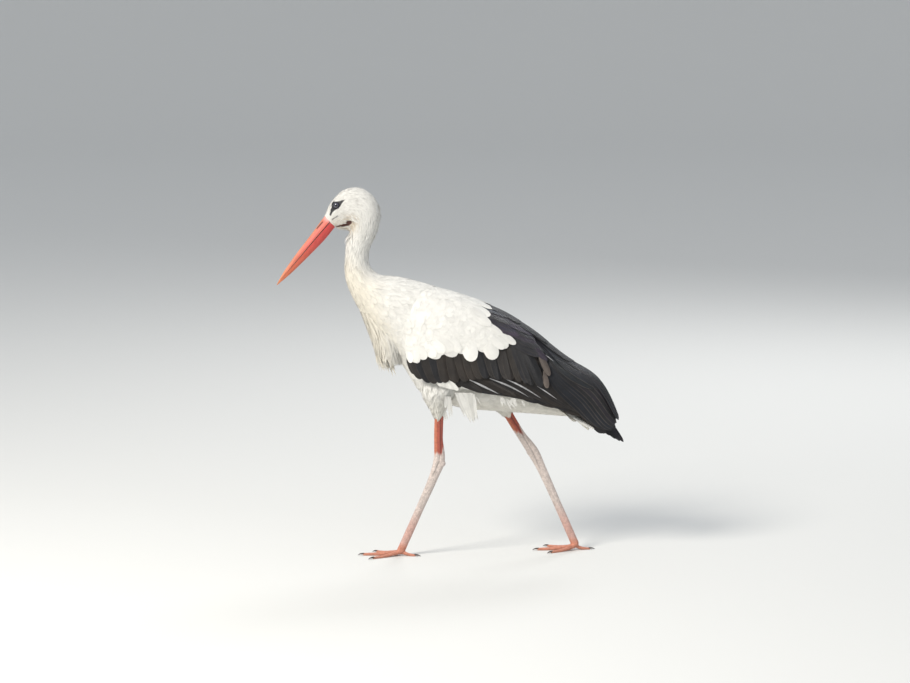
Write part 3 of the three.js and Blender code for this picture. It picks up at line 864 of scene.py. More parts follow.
# %% Grow a field of feathers
def grow(
    coat, sheet, s, t, blanks, length, width, rise, colour,
    spread=6.0, thick=0.5, dark=0.86, hook=8.0, wild=0.5, field=(0, 1),
):
    """Feathers at the roots s, t, each a little different. Lengths in mm, angles in degrees.

    colour gives the colour at places; dark is how light a feather is at its root, as a share of
    its tip, which paints in the shade that the feathers over it cast there; spread, hook and wild
    are how much its lie, its bend and its lift vary; field is the range of s that this piece of
    coat covers, for its own map.
    """
    count = len(s)
    pick = DRAWS.integers(len(blanks), size=count)
    vary = DRAWS.standard_normal((6, count)).clip(-2, 2)
    length = np.broadcast_to(length, count) * (1 + 0.12 * vary[0]) * MM
    width = np.broadcast_to(width, count) * (1 + 0.10 * vary[1]) * MM
    turn = np.radians(spread * vary[2])
    bend = np.radians(hook) * vary[3]
    low, high = (np.broadcast_to(h, count) * MM for h in rise)
    high = high + wild * MM * vary[4]
    shades = colour(sheet.at(s, t)) * (1 + 0.035 * vary[5])[:, None]
    patch = np.stack([(s - field[0]) / (field[1] - field[0]), t % 1], -1)
    for i, blank in enumerate(blanks):
        m = pick == i
        path = walked(sheet, blank.stops, s[m], t[m], turn[m], bend[m], length[m])
        laid = lay(sheet, blank, path, width[m], (low[m], high[m]), thick * MM, crown=0.3)
        # each feather darkens towards its root: painted shade where the feathers over it cover it
        coat.add(blank, laid, length[m], width[m], patch[m], shades[m] * dark, shades[m])


# %% Where the body's feathers go
WRIST_X = -100 * MM  # the wings begin behind this


def hidden_by_wings(places):
    """Whether each place lies well under a folded wing."""
    wing_points, uv = [], []
    for sheet in wings.values():
        grid = sheet.points[::8, ::8]
        u, v = (np.linspace(0, 1, n) for n in grid.shape[:2])
        wing_points.append(grid.reshape(-1, 3))
        uv.append(np.stack(np.meshgrid(u, v, indexing="ij"), -1).reshape(-1, 2))
    wing_points, uv = np.concatenate(wing_points), np.concatenate(uv)
    tree = KDTree(len(wing_points))
    for i, point in enumerate(wing_points):
        tree.insert(point, i)
    tree.balance()
    flat = places.reshape(-1, 3)
    near = np.zeros(len(flat), int)
    back = np.flatnonzero(flat[:, 0] > WRIST_X)
    near[back] = [tree.find(flat[i])[1] for i in back]
    u, v = uv[near].T
    covered = (flat[:, 0] > WRIST_X) & (u > 0.07) & (u < 0.97) & (v < 0.90)
    return covered.reshape(places.shape[:-1])


COARSE = 4  # the search is slow, so only every fourth point of the sheet is looked up
under_wings = hidden_by_wings(body.points[::COARSE, ::COARSE])
under_wings = np.kron(under_wings, np.ones((COARSE, COARSE), bool))
under_wings = under_wings[: body.steps[0] + 1, : body.steps[1] + 1]
print("share of the body under the wings", round(float(under_wings.mean()), 2))


def feathered(low, high):
    """Where the feathers of the stations from low to high are rooted."""

    def keep(places, s, t):
        station = s * LAST_STATION
        x, y, z = in_mm(places)
        side = np.abs(y) > 6
        bare = (inside_outline(BARE_FACE, x, z) < 0.6) & side
        bare |= (inside_outline(THROAT, x, z) < 0.3) & (station < 3.5)
        return (station >= low) & (station < high) & ~bare & ~under_wings

    return keep


# %% [markdown]
# ## Head, neck and body
# The feathers grow from 3.6 mm at the bill to about 40 mm on the trunk, so the coat is laid in
# four pieces, each with its own spacing, and length and width follow the stations. The face and
# neck have pointed feathers, the body rounded ones. A last piece adds a few feathers that stand
# off the throat and the nape, because their loose tips break the neck's hard outline.

# %% Head, neck, shoulders and trunk
# stations, and the length and width of the feathers there in millimetres
LENGTH_AT = [0, 1, 2, 4, 6, 8, 9.5, 11, 14, 18], [3.6, 5.6, 8.0, 12, 18, 27, 32, 38, 42, 38]
WIDTH_AT = [0, 1, 2, 5, 7, 9, 10, 11, 14, 18], [1.5, 1.9, 2.5, 3.6, 5.4, 8.5, 13.0, 18, 23, 20]
BILL_RING = 110  # feathers in the close ring round the bill's base


def body_coat(name, low, high, spacing, blanks, wild, thick=0.3, dark=0.86, deep=0.35):
    coat = Coat()
    s, t = scatter(body, spacing * MM, feathered(low, high))
    if low == 0:
        s = np.append(s, DRAWS.uniform(0, 0.006, BILL_RING))
        t = np.append(t, np.arange(BILL_RING) / BILL_RING)
    station = s * LAST_STATION
    depth = body_coat_depth(s)[:, 0] / MM
    grow(
        coat, body, s, t, blanks, np.interp(station, *LENGTH_AT), np.interp(station, *WIDTH_AT),
        (-deep * depth, -0.05 * depth), body_colour, wild=wild, thick=thick, dark=dark,
        field=(low / LAST_STATION, high / LAST_STATION),
    )
    print(name, "feathers", len(s))
    return coat.finish(name, white_plumage)


body_coat("coat_head", 0, 5.5, 2.2, LANCE, wild=0.12, thick=0.16, deep=0.42)
body_coat("coat_neck", 5.5, 9.3, 3.2, LANCE, wild=0.25, thick=0.22, dark=0.82, deep=0.36)
body_coat("coat_shoulders", 9.3, 12.0, 5.0, CONTOUR[:3] + LANCE, wild=0.25)
body_coat("coat_trunk", 12.0, 18.0, 6.2, CONTOUR + LANCE[:1], wild=0.25)

# %% Beard and nape
# middle station, its reach, middle of t, its reach, length and lift of the feathers
LOOSE_AT = [(4.5, 0.75, 0.5, 0.12, 17, 5.2), (5.2, 0.9, 0.0, 0.11, 13, 2.1)]


def patch_round(station, reach, centre, half):
    """A small patch of the body round a station and a t, which may lie across the seam."""

    def keep(places, s, t):
        off = np.abs((t - centre + 0.5) % 1 - 0.5)
        return (np.abs(s * LAST_STATION - station) < reach) & (off < half)

    return keep


beard = Coat()
for *patch, length, lift in LOOSE_AT:
    s, t = scatter(body, 5 * MM, patch_round(*patch))
    grow(
        beard, body, s, t, LANCE, length, 3.2, (-1.8, lift), body_colour,
        spread=16, thick=0.3, wild=1.0, dark=0.8,
    )
beard.finish("coat_beard", white_plumage)


# %% [markdown]
# ## Breast plumes, thighs and tail
# The long plumes of the lower neck hang clear of the breast and end in separate points. The
# thighs wear trousers of soft feathers that stop above the bare leg, and the tail is a fan of
# twelve broad feathers with soft coverts below it. Each has a sheet of its own.

# %% Their sheets
plumes = loft_sheet(
    [[-190, 570], [-130, 520], [-100, 470], [-104, 425], [-127, 403]],
    [[-215, 572], [-192, 522], [-174, 476], [-157, 433], [-136, 403]],
    [10, 38, 46, 38, 16], steps=(160, 120),
)
thighs = {
    -1: loft_sheet(
        [[52, 420], [34, 385], [4, 350], [-14, 318]],
        [[-60, 426], [-66, 366], [-50, 334], [-36, 308]], [22, 34, 22, 9], side=-42, steps=(160, 120),
    ),
    1: loft_sheet(
        [[130, 400], [140, 366], [141, 336], [137, 306]],
        [[0, 380], [40, 348], [86, 322], [115, 300]], [20, 32, 22, 9], side=42, steps=(160, 120),
    ),
}
tail = loft_sheet(
    [[180, 384], [226, 352], [270, 318], [300, 293], [317, 280]],
    [[172, 360], [220, 332], [266, 300], [294, 284], [314, 274]],
    [20, 26, 32, 36, 37], square=0.6, steps=(160, 120),
)


def between(low, high):
    return lambda places, s, t: (s >= low) & (s < high)


# %% Plumes
PLUME_SPACING = 4.2 * MM
PLUME_END = 0.75  # how far down their sheet the plumes reach
PLUME_FIELDS = [(0.0, 0.3, 80, 1.0), (0.3, 0.48, 60, 1.4), (0.48, 0.64, 34, 1.8)]
plume_coat = Coat()
for low, high, length, wild in PLUME_FIELDS:
    s, t = scatter(plumes, PLUME_SPACING, between(low, high))
    long = length * DRAWS.uniform(0.7, 1.12, len(s))
    room = (PLUME_END + 0.05 * DRAWS.standard_normal(len(s)) - s) * 185
    grow(
        plume_coat, plumes, s, t, LANCE, np.maximum(np.minimum(long, room), 12), 6.5, (-3, 0.4),
        body_colour, spread=5, thick=0.4, hook=10, wild=wild, dark=0.72,
    )
print("plumes on their sheet", len(plume_coat.parts))

# %% Thighs
THIGH_FIELDS = [(0.1, 0.5, 34), (0.5, 0.8, 30), (0.8, 0.97, 17)]
thigh_coat = Coat()
for sheet in thighs.values():
    for low, high, length in THIGH_FIELDS:
        s, t = scatter(sheet, 5.2 * MM, between(low, high))
        grow(
            thigh_coat, sheet, s, t, SOFT + LANCE[:2], length, 12, (-6, -0.3), body_colour,
            spread=8, thick=0.6, hook=14, wild=0.9,
        )
thigh_coat.finish("coat_thighs", white_plumage)

# %% [markdown]
# ## Rows of feathers
# Strands, flight feathers and big coverts stand in rows, not in fields. A row has a line of roots
# and a line of tips on some sheet, and each feather runs from its share of one to its share of
# the other, so two short lines of numbers place a whole fan. A single feather is a row of one,
# and a lock is a row of slender feathers on an upright sheet that hangs beside the bird.

# %% A row
VANE = [Blank(16, rounded, ring=RING_LARGE, ragged=0.05) for _ in range(3)]
print("large vane triangles", VANE[0].triangles)


def row(
    coat, sheet, roots, tips, count, width, rise, tints,
    bow=0.0, roll=0.08, thick=0.45, blanks=VANE, loose=0.4, edge=None, deep=0.8,
):
    """A row of large feathers from a line of roots to a line of tips, laid one over the next.

    Each feather's colour is a mix of two of the tints; at its root it is deep times as light,
    which paints in the shade that the feathers over it cast there.
    """
    share = (np.arange(count) + 0.5) / count
    vary = DRAWS.standard_normal((4, count)).clip(-2, 2)
    root, tip = smooth_curve(roots)(share), smooth_curve(tips)(share)
    tip = tip + 0.006 * loose * vary[:2].T
    widths = np.atleast_1d(width)
    width = np.interp(share, np.linspace(0, 1, len(widths)), widths) * MM
    for i in range(count):  # one at a time, so that each can have its own blank and shade
        blank = blanks[i % len(blanks)]
        one = slice(i, i + 1)
        path, length = drawn(sheet, blank.stops, root[one], tip[one], bow)
        low, high = ((h + 0.25 * vary[2, i]) * MM for h in rise)
        laid = lay(sheet, blank, path, width[one], (low, high), thick * MM, roll=roll, crown=0.25)
        first, second = (tints[DRAWS.integers(len(tints))] for _ in range(2))
        shade = (0.6 * first + 0.4 * second)[None] * (1 + 0.06 * vary[3, i])
        patch = np.clip(root[one], 0, 1)
        # the root is darker: painted shade where the feathers over it cover it
        coat.add(blank, laid, length, width[one], patch, shade * deep, shade, edge)


# %% A lock
HANG_FROM, HANG_LONG, HANG_TALL = -200, 400, 100


def hanging(out, top, inward=0.0):
    """An upright sheet beside the bird: t runs back along it and s down from the top."""

    def place(s, t):
        across = out * (1 - inward * s**2)
        return np.stack([HANG_FROM + HANG_LONG * t, across, top - HANG_TALL * s], -1) * MM

    return Sheet(place, closed=False, steps=(40, 80), outward=-1 if out < 0 else 1)


def lock(coat, out, top, ends, count, width, tints, inward=0.0):
    """A lock of slender feathers; ends are x, z and half spread at its roots, then at its tips."""
    lines = [
        [[(top - z) / HANG_TALL, (x + side - HANG_FROM) / HANG_LONG] for side in (-half, half)]
        for x, z, half in (ends[:3], ends[3:])
    ]
    row(
        coat, hanging(out, top, inward), *lines, count, width, (-1.5, 0.5), tints,
        blanks=LANCE, loose=2.0, roll=0, thick=0.5,
    )


# %% Strands that hang from the plumes
STRANDS = [  # x and z of the root, then of the tip
    (-163, 458, -152, 420), (-160, 455, -145.5, 405), (-156, 452, -138, 406),
    (-150, 452, -130, 409), (-146, 450, -122.6, 398), (-140, 457, -124.6, 421),
    (-134, 459, -119, 419), (-128, 460, -116, 432),
]
for out in (-21, -9, 3, 14):
    for x0, z0, x1, z1 in STRANDS:
        x1, z1 = x1 + DRAWS.uniform(-3, 3), z1 + DRAWS.uniform(-3, 9)
        ends = (x0, z0 + 6, 3, x1, z1, 1)
        lock(plume_coat, out, 480, ends, 2, 6, [0.6 * CREAM + 0.4 * WHITE, 0.8 * WHITE])
plume_coat.finish("coat_plumes", white_plumage)


# %% Tail
def tail_fan(under):
    """The tail as a fan whose edges turn down; its lower side is a second sheet that faces down."""

    def place(s, t):
        half = 24 + 22 * s
        across = 2 * t - 1
        z = 384 - 97 * s - 12 * across**4 - 16 * s * (1 - s) - 5 * under
        return np.stack([188 + 129 * s, half * across, z], -1) * MM

    return Sheet(place, closed=False, steps=(60, 40), outward=-1 if under else 1)


tail_coat = Coat()
fan, fan_under = tail_fan(0), tail_fan(1)
row(
    tail_coat, fan, [[0.0, 0.3], [0.0, 0.7]], [[0.985, 0.08], [1.0, 0.5], [0.985, 0.92]],
    12, 27, (-3, 0), [WHITE], roll=0.03, thick=0.3,
)
s, t = scatter(fan_under, 7 * MM, lambda places, s, t: (s < 0.5) & (np.abs(t - 0.5) < 0.4))
grow(
    tail_coat, fan_under, s, t, CONTOUR, 36, 15, (-1.5, 1.0), body_colour,
    dark=0.95, thick=0.3, wild=0.2,
)
tail_coat.finish("coat_tail", white_plumage)

# %% [markdown]
# ## Legs and feet
# A stork's lower leg is dry and scaly, with a long groove between tendon and bone, a thick ankle
# and three slim front toes joined by small webs. Leg, ankle, knuckle and toes are drawn as
# separate closed shells that run into each other, and a remesh melts them into one skin.

# %% Where the legs are
LEGS = {
    # each side's toe joint, ankle and top of the bare leg, in millimetres
    -1: ((-110, -32, 11), (-28.3, -40, 213.1), (-25, -42, 318)),
    1: ((277, 32, 14), (179.5, 40, 219), (126, 42, 308)),
}
KNUCKLES = {  # lumps round the heel: how far behind and above the ankle, and how big
    -1: [(-7.0, -20, 8.2), (10.0, -5, 7.6), (8.6, 7, 6.2)],
    1: [(-3.2, 1, 8.0), (4.5, 8, 8.0), (9.0, -7, 7.0)],
}
TOES = [(-34, 65.5, 4.3), (-2, 84, 4.6), (32, 72.2, 4.2), (168, 34, 3.9)]  # turn, reach, half girth


def toe_way(hand, turn):
    """The level direction of a toe that is turned outwards by some degrees."""
    turn = math.radians(turn)
    return Vector((-math.cos(turn), hand * math.sin(turn), 0))


def crosswise(way):
    return Vector((-way.y, way.x, 0))


def above(height):
    return Vector((0, 0, height))


for toe_joint, ankle, _ in LEGS.values():
    print("tarsus in millimetres", round((Vector(ankle) - Vector(toe_joint)).length))


# %% A limb
def limb(path, deep, wide, steps, across=(0, 1, 0), pinch=0.0):
    """A closed shell round a smooth path, as a bmesh drawn from a circle.

    deep and wide are its half sizes along the path; pinch presses a groove into its upper part,
    between the tendon behind and the bone in front.
    """
    path = [tuple(point) for point in path]
    centre, deep, wide = smooth_curve(path), smooth_curve(deep), smooth_curve(wide)
    bm = bmesh.new()
    bmesh.ops.create_circle(bm, cap_ends=True, segments=28, radius=1)
    edges = list(bm.edges)
    rings = [list(bm.verts)]
    for _ in range(steps):
        ring, edges = drawn_out(bm, edges)
        rings.append(ring)
    bmesh.ops.contextual_create(bm, geom=edges)
    side = Vector(across)
    for i, ring in enumerate(rings):
        s = i / steps
        ahead = Vector(centre(min(1, s + 0.01)) - centre(max(0, s - 0.01))).normalized()
        front = ahead.cross(side).normalized()
        middle = Vector(centre(s))
        half_deep, half_wide = float(deep(s)[0]), float(wide(s)[0])
        pressed = float(blend(0.62, 0.45, s))
        for vert in ring:
            groove = 1 - pinch * math.exp(-(((vert.co.x + 0.05) / 0.25) ** 2)) * pressed
            place = middle + front * vert.co.x * half_deep + side * vert.co.y * half_wide * groove
            vert.co = place * MM
    bmesh.ops.recalc_face_normals(bm, faces=bm.faces)
    return bm


# %% A leg and its toes
def ball(place, size, segments):
    """A sphere at a place, both in millimetres."""
    bm = bmesh.new()
    bmesh.ops.create_uvsphere(bm, u_segments=segments[0], v_segments=segments[1], radius=size * MM)
    bmesh.ops.translate(bm, verts=bm.verts, vec=place * MM)
    return bm


def toe_shell(hand, turn, reach, girth):
    toe_joint = Vector(LEGS[hand][0])
    level = Vector((toe_joint.x, toe_joint.y, 0))
    way = toe_way(hand, turn)
    path = [
        level + above(toe_joint.z - 3),
        level + way * 0.22 * reach + above(girth + 2.4),
        level + way * 0.6 * reach + above(0.95 * girth - 1.1),
        level + way * reach + above(0.72 * girth - 1.1),
    ]
    share = np.linspace(0, 1, 25)
    pads = 1 + 0.09 * np.sin(share * reach / 3.1) ** 2 - 0.05
    size = girth * (1.15 - 0.42 * share) * pads * np.where(share > 0.97, 0.85, 1)
    return limb(path, size, size, 40, crosswise(way))


def leg_shells(hand):
    toe_joint, ankle, top = (Vector(p) for p in LEGS[hand])
    path = [
        top.lerp(ankle, -0.14), top.lerp(ankle, 0.5), ankle + Vector((3.0, 0, 2)),
        ankle.lerp(toe_joint, 0.18) + Vector((5.2, 0, 0)),
        ankle.lerp(toe_joint, 0.58) + Vector((3.0, 0, 0)), toe_joint,
    ]
    deep, wide = [10.2, 9.8, 12.6, 10.2, 8.8, 8.8], [6.4, 6.0, 8.6, 6.6, 5.9, 7.4]
    shells = [limb(path, deep, wide, 120, pinch=0.30)]
    for back, up, size in KNUCKLES[hand]:
        shells.append(ball(ankle + Vector((back, 0, up)), size, (20, 12)))
    shells.append(ball(toe_joint, 8.2, (24, 16)))
    return shells + [toe_shell(hand, *toe) for toe in TOES]


WEB_REACH, WEB_MIDDLE, WEB_THICKNESS = 20 * MM, 14 * MM, 2.6 * MM


def webs(hand):
    """The small webs between the front toes, as thin shells."""
    toe_joint = Vector(LEGS[hand][0]) * MM
    made = []
    for (first, *_), (second, *_) in zip(TOES[:2], TOES[1:3]):
        bm = bmesh.new()
        corners = [Vector((toe_joint.x, toe_joint.y, 6 * MM))]
        middle = 0.5 * (first + second)
        for turn, far in ((first, WEB_REACH), (middle, WEB_MIDDLE), (second, WEB_REACH)):
            corners.append(corners[0] + (toe_way(hand, turn) - above(0.1)) * far)
        bmesh.ops.contextual_create(bm, geom=[bm.verts.new(corner) for corner in corners])
        bmesh.ops.solidify(bm, geom=list(bm.faces), thickness=WEB_THICKNESS)
        bmesh.ops.recalc_face_normals(bm, faces=bm.faces)
        made.append(bm)
    return made


# %% [markdown]
# ## Melting the shells together
# Shells that only overlap would show hard creases where they cross. A voxel remesh builds one
# closed skin round all of them, and a little smoothing takes its steps away. Its grain of 1.2 mm
# keeps the knuckles and pads and leaves the whole skin under 200,000 triangles.


# %% Melt each leg into one skin
def joined(shells):
    whole = bmesh.new()
    for shell in shells:
        mesh = bpy.data.meshes.new("shell")
        shell.to_mesh(mesh)
        shell.free()
        whole.from_mesh(mesh)
        bpy.data.meshes.remove(mesh)
    return whole


def melted(shells, grain):
    """The shells as one skin, remeshed at a grain size in metres and smoothed."""
    rough = new_object("rough", mesh_from(joined(shells), "rough"))
    remesh = rough.modifiers.new("melt", "REMESH")
    remesh.mode = "VOXEL"
    remesh.voxel_size = grain
    depsgraph = bpy.context.evaluated_depsgraph_get()
    remeshed = bpy.data.meshes.new_from_object(rough.evaluated_get(depsgraph))
    bpy.data.objects.remove(rough)
    bm = bmesh.new()
    bm.from_mesh(remeshed)
    all_axes = {f"use_axis_{axis}": True for axis in "xyz"}
    for _ in range(3):
        bmesh.ops.smooth_vert(bm, verts=bm.verts, factor=0.5, **all_axes)
    for vert in bm.verts:
        vert.co.z = max(vert.co.z, 0)
    return bm


GRAIN = 1.2 * MM
legs = {hand: melted(leg_shells(hand) + webs(hand), GRAIN) for hand in (-1, 1)}
print("leg faces", [len(bm.faces) for bm in legs.values()])

# %% [markdown]
# ## Under the loose parts, and the skin as one piece
# Plumes, trousers, tail and wings each get a plain core a few millimetres inside their sheet, so
# that no gap between two feathers looks through the bird. Then every shell is given the colour
# of what lies over it, and all of them become one mesh, which is also the skin of face and legs.


# %% Inner shells under the wings, plumes, thighs and tail
def shrunk(sheet, depth, last=1.0):
    """A coarse shell a depth inside a closed sheet, from its start to last."""
    rings, columns = 24, 28
    s = np.linspace(0, last, rings + 1)
    return wrapped(sheet, s, columns, lambda s, t, places: np.full(np.shape(s), -depth))


def wing_core(hand):
    """A plate about half a wing's thickness inside it, clear of its edges and its tip."""
    bm = bmesh.new()
    bmesh.ops.create_grid(bm, x_segments=60, y_segments=24, size=0.5)
    surface = wing_place(hand, 0.55)
    for vert in bm.verts:
        u, v = 0.015 + 0.815 * (vert.co.x + 0.5), 0.01 + 0.95 * (vert.co.y + 0.5)
        vert.co = surface(np.array(u), np.array(v))
    bmesh.ops.recalc_face_normals(bm, faces=bm.faces)
    bmesh.ops.solidify(bm, geom=list(bm.faces), thickness=3 * MM)
    return bm


# %% Colours of the bare skin
SHIN_RED, LIT_SHIN_ORANGE = np.array([0.47, 0.105, 0.07]), np.array([0.60, 0.20, 0.11])
CHALK, SHANK_PINK = np.array([0.70, 0.60, 0.55]), np.array([0.62, 0.33, 0.27])
FOOT_SALMON = np.array([0.62, 0.23, 0.14])


def behind_axis(places):
    """How far each place lies behind the middle line of its leg, in millimetres."""
    x, y, z = in_mm(places)
    offsets = []
    for hand in (-1, 1):
        toe_joint, ankle, top = LEGS[hand]
        levels, middles = [toe_joint[2], ankle[2], top[2]], [toe_joint[0] + 4, ankle[0] + 4, top[0]]
        offsets.append(x - np.interp(z, levels, middles))
    return np.where(y < 0, *offsets)


def leg_colour(places):
    """Red shins with painted shade in the groove between tendon and bone and a more orange lit front,
    chalky heels and shanks with a painted shadow in the heel's crease, salmon feet.
    """
    x, y, z = in_mm(places)
    behind = behind_axis(places)
    wobble = 1.6 * np.sin(x * 0.9 + y) + 1.4 * np.sin(y * 1.7)
    red_ends = np.where(y < 0, 231, 266) + wobble
    red_ends = red_ends + 13 * blend(5.0, 7.5, behind) - 6 * near_to(behind - 2, 2.2)
    # painted light: the front of each shin, where the light falls, is more orange than its red back
    shin = towards(SHIN_RED, LIT_SHIN_ORANGE, 0.75 * blend(-3, -7, behind))
    # painted shade: the groove between tendon and bone is darkened down the shin
    shin = darker(shin, 0.62 * near_to(behind - 2.2, 2.1))
    flush = 0.5 + 0.5 * np.sin(0.8 * behind + 2.2 * np.sin(0.11 * z) + 1.3 * y)
    shank = darker(CHALK, 0.16 * flush * blend(200, 150, z))
    # painted shadow: the groove's line carried on as a dark crease over the chalky heel
    crease_shade = near_to(behind + 1.5 - 0.05 * (z - 205), 1.3) * blend(176, 188, z)
    colour = towards(shin, darker(shank, 0.45 * crease_shade), blend(red_ends + 5, red_ends - 5, z))
    colour = towards(colour, SHANK_PINK, 0.75 * blend(120, 50, z))
    return towards(colour, FOOT_SALMON, 0.85 * blend(34, 16, z))


def face_colour(places):
    x, y, z = in_mm(places)
    # the bare throat skin carries painted shade; the patch round the eye is its own black
    throat = blend(1.5, -0.5, inside_outline(THROAT, x, z))
    bare = blend(1.0, -0.4, inside_outline(BARE_FACE, x, z)) * (np.abs(y) > 6)
    return towards(towards(0.93 * body_colour(places), SHADED_THROAT_RED, throat), BARE_BLACK, bare)


def wing_colour(places):
    return np.where((places[..., 0] < 50 * MM)[..., None], WHITE * 0.9, BLACK)


# %% Join the skin
skin_shells = [
    (skin_bm, face_colour),
    (shrunk(plumes, 4.5 * MM, last=0.66), body_colour),
    (shrunk(tail, 7 * MM, last=0.85), body_colour),
    *((shrunk(sheet, 5 * MM), body_colour) for sheet in thighs.values()),
    *((wing_core(hand), wing_colour) for hand in (-1, 1)),
    *((bm, leg_colour) for bm in legs.values()),
]
shades, scaly = [], []
for bm, colour in skin_shells:
    shades.append(colour(np.array([v.co[:] for v in bm.verts])))
    scaly.append(np.full(len(bm.verts), 1.0 if colour is leg_colour else 0.0))
skin_mesh = mesh_from(joined([bm for bm, _ in skin_shells]), "skin")
paint(skin_mesh, "skin", np.concatenate(shades), alpha=np.concatenate(scaly))
skin = new_object("skin", skin_mesh)
print("skin triangles", sum(len(face.vertices) - 2 for face in skin_mesh.polygons))

# %% [markdown]
# ## Finish of the skin
# Leg skin is covered with small scales, taller than wide, and the cracks between them are darker. A
# Voronoi pattern's distance to its cell edges gives such cracks. The attribute's alpha is 1 on
# the legs and 0 elsewhere, so the face and the skin under the coat stay smooth.


# %% Skin material
SCALES = 420  # for each metre
CRACK_WIDTH = 0.14  # as a share of a scale


def skin_material():
    material, tree, shader = new_material("skin")
    shade = node(tree, "Attribute", attribute_name="skin")
    place = node(tree, "TexCoord")["Object"]
    tall = node(tree, "Mapping", {"Vector": place, "Scale": (1.0, 1.0, 0.6)})[0]
    scales = node(tree, "TexVoronoi", {"Vector": tall, "Scale": SCALES}, feature="DISTANCE_TO_EDGE")
    cracks = ranged(tree, scales["Distance"], -1, 0, 0, CRACK_WIDTH)
    grooves = calculated(tree, "MULTIPLY_ADD", cracks, shade["Alpha"], 1)
    blotch = noise(tree, place, 160, 5)
    worn = ranged(tree, blotch, 0.80, 1.10, *NOISE_RANGE)
    crack_darkening = ranged(tree, grooves, 0.72, 1)
    connect(shader, {
        "Base Color": tinted(tree, shade["Color"], calculated(tree, "MULTIPLY", worn, crack_darkening)),
        "Normal": bumped(tree, grooves, 0.55, 0.0006),
        "Roughness": ranged(tree, blotch, 0.45, 0.75),
    })
    return material


skin.data.materials.append(skin_material())
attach(skin, "root")
SIDES = {-1: "left", 1: "right"}
WING_PARTS = ("coverts", "greater_coverts", "tertials", "secondaries", "primaries")
wing_nodes = [f"wing_{side}_{part}" for side in SIDES.values() for part in WING_PARTS]
LEG_PARTS = ("thigh", "tibia", "tarsus", "foot")
leg_nodes = [f"{part}_{side}" for part in LEG_PARTS for side in SIDES.values()]
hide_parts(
    "head", "neck_upper", "neck_lower", "trunk", "breast_plumes", "tail",
    *leg_nodes, *wing_nodes,
)

# %% [markdown]
# ## Bill
# The bill is two long horn sheaths that meet along a gently curved gape. Each is drawn out from a
# ring in many steps; the ring is an arch over the mouth line and a flat palate below it, and the
# two palates stay a hair apart so that the gape shows as a dark line. A slit nostril and a
# shallow groove are pressed into the upper sheath.

# %% Lines of the bill, in millimetres
CULMEN = smooth_curve([[-277, 749], [-307.5, 707.5], [-340, 665], [-369, 623], [-382, 599]])
KEEL = smooth_curve([[-254, 725.5], [-276, 698.5], [-311, 662.5], [-350, 624.5], [-381, 598]])
BILL_HALF = smooth_curve([11.5, 9.5, 6.8, 4.0, 1.0])
GAPE = smooth_curve([
    [-245, 757], [-262, 740], [-303, 693], [-334, 656], [-361, 624.5], [-392, 588],
])
NOSTRIL = np.array([[-292.6, 724.0], [-280.6, 737.6]])
CERE = np.array([[-275, 748], [-263, 741]])  # the paler line where the upper bill meets the face


def gape_share(s):
    """Where the gape crosses the bill at s, as a share from the keel to the culmen."""
    line = GAPE(np.linspace(0, 1, 400))
    top, keel = CULMEN(s), KEEL(s)
    across = unit(top - keel)
    ahead = np.stack([-across[..., 1], across[..., 0]], -1)
    off = ((line[None] - keel[:, None]) * ahead[:, None]).sum(-1)
    nearest = np.abs(off).argmin(1)
    depth = ((line[nearest] - keel) * across).sum(-1) / np.linalg.norm(top - keel, axis=-1)
    return np.clip(depth, 0.2, 0.8)


print("bill length in millimetres", round(float(np.linalg.norm(CULMEN(0.0) - CULMEN(1.0)))))

# %% A sheath of the bill
STEPS_ALONG, STEPS_ROUND = 230, 72
BEHIND = 0.035  # how far the sheaths run on behind the bill's base, as a share of its length
ARCH, PALATE = 0.78, 0.22  # shares of a ring
HAIR = 0.012  # half of the gap between the sheaths, as a share of the bill's depth


def sheath_ring(t):
    """A ring's side and rise, with its arch first and its palate after."""
    arch = np.pi * np.clip(t / ARCH, 0, 1)
    palate = np.clip((t - ARCH) / PALATE, 0, 1)
    side = np.where(t < ARCH, np.cos(arch), -1 + 2 * palate)
    return side, np.where(t < ARCH, np.sin(arch) ** 0.92, 0.03 + 0.05 * np.sin(np.pi * palate))


def sheath(name, upper):
    bm = bmesh.new()
    bmesh.ops.create_grid(bm, x_segments=STEPS_ALONG, y_segments=STEPS_ROUND, size=0.5)
    co = np.array([v.co[:2] for v in bm.verts]) + 0.5
    own_s, t = -BEHIND + (1 + BEHIND) * co[:, 0], co[:, 1]
    own, past = np.clip(own_s, 0, 1), np.clip(-own_s, 0, 1)
    s = np.linspace(-BEHIND, 1, STEPS_ALONG + 1)
    cut = np.interp(own, s, gape_share(np.clip(s, 0, 1)))
    y, rise = sheath_ring(t)
    top, keel = CULMEN(own), KEEL(own)
    near, far = (cut + HAIR, 1.0) if upper else (cut - HAIR, 0.0)
    level = near + (far - near) * rise
    flat = keel + (top - keel) * level[:, None]
    flat += unit(CULMEN(np.full(1, 0.0)) - CULMEN(np.full(1, 0.05))) * (past * 190)[:, None]
    half = BILL_HALF(own)[:, 0] * (1.0 if upper else 0.95) * (1 - 0.12 * np.clip(past / BEHIND, 0, 1))
    tip = np.sqrt(np.clip((1 - own) / 0.02, 0, 1))
    side = half * y * (0.25 + 0.75 * tip) * (1 - 0.10 * rise)
    if upper:
        side *= 1 - 0.20 * near_to(from_line(NOSTRIL, flat[:, 0], flat[:, 1]), 1.1) * (t < ARCH)
        groove = near_to(level - (cut + 0.55 * (1 - cut)), 0.07) * blend(0.75, 0.25, own) * (t < ARCH)
        side *= 1 - 0.05 * groove
    shut(bm, np.stack([flat[:, 0], side, flat[:, 1]], -1) * MM, 2e-6)
    piece = new_object(name, mesh_from(bm, name))
    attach(piece, "root")
    print(name, "faces", len(piece.data.polygons))
    return piece


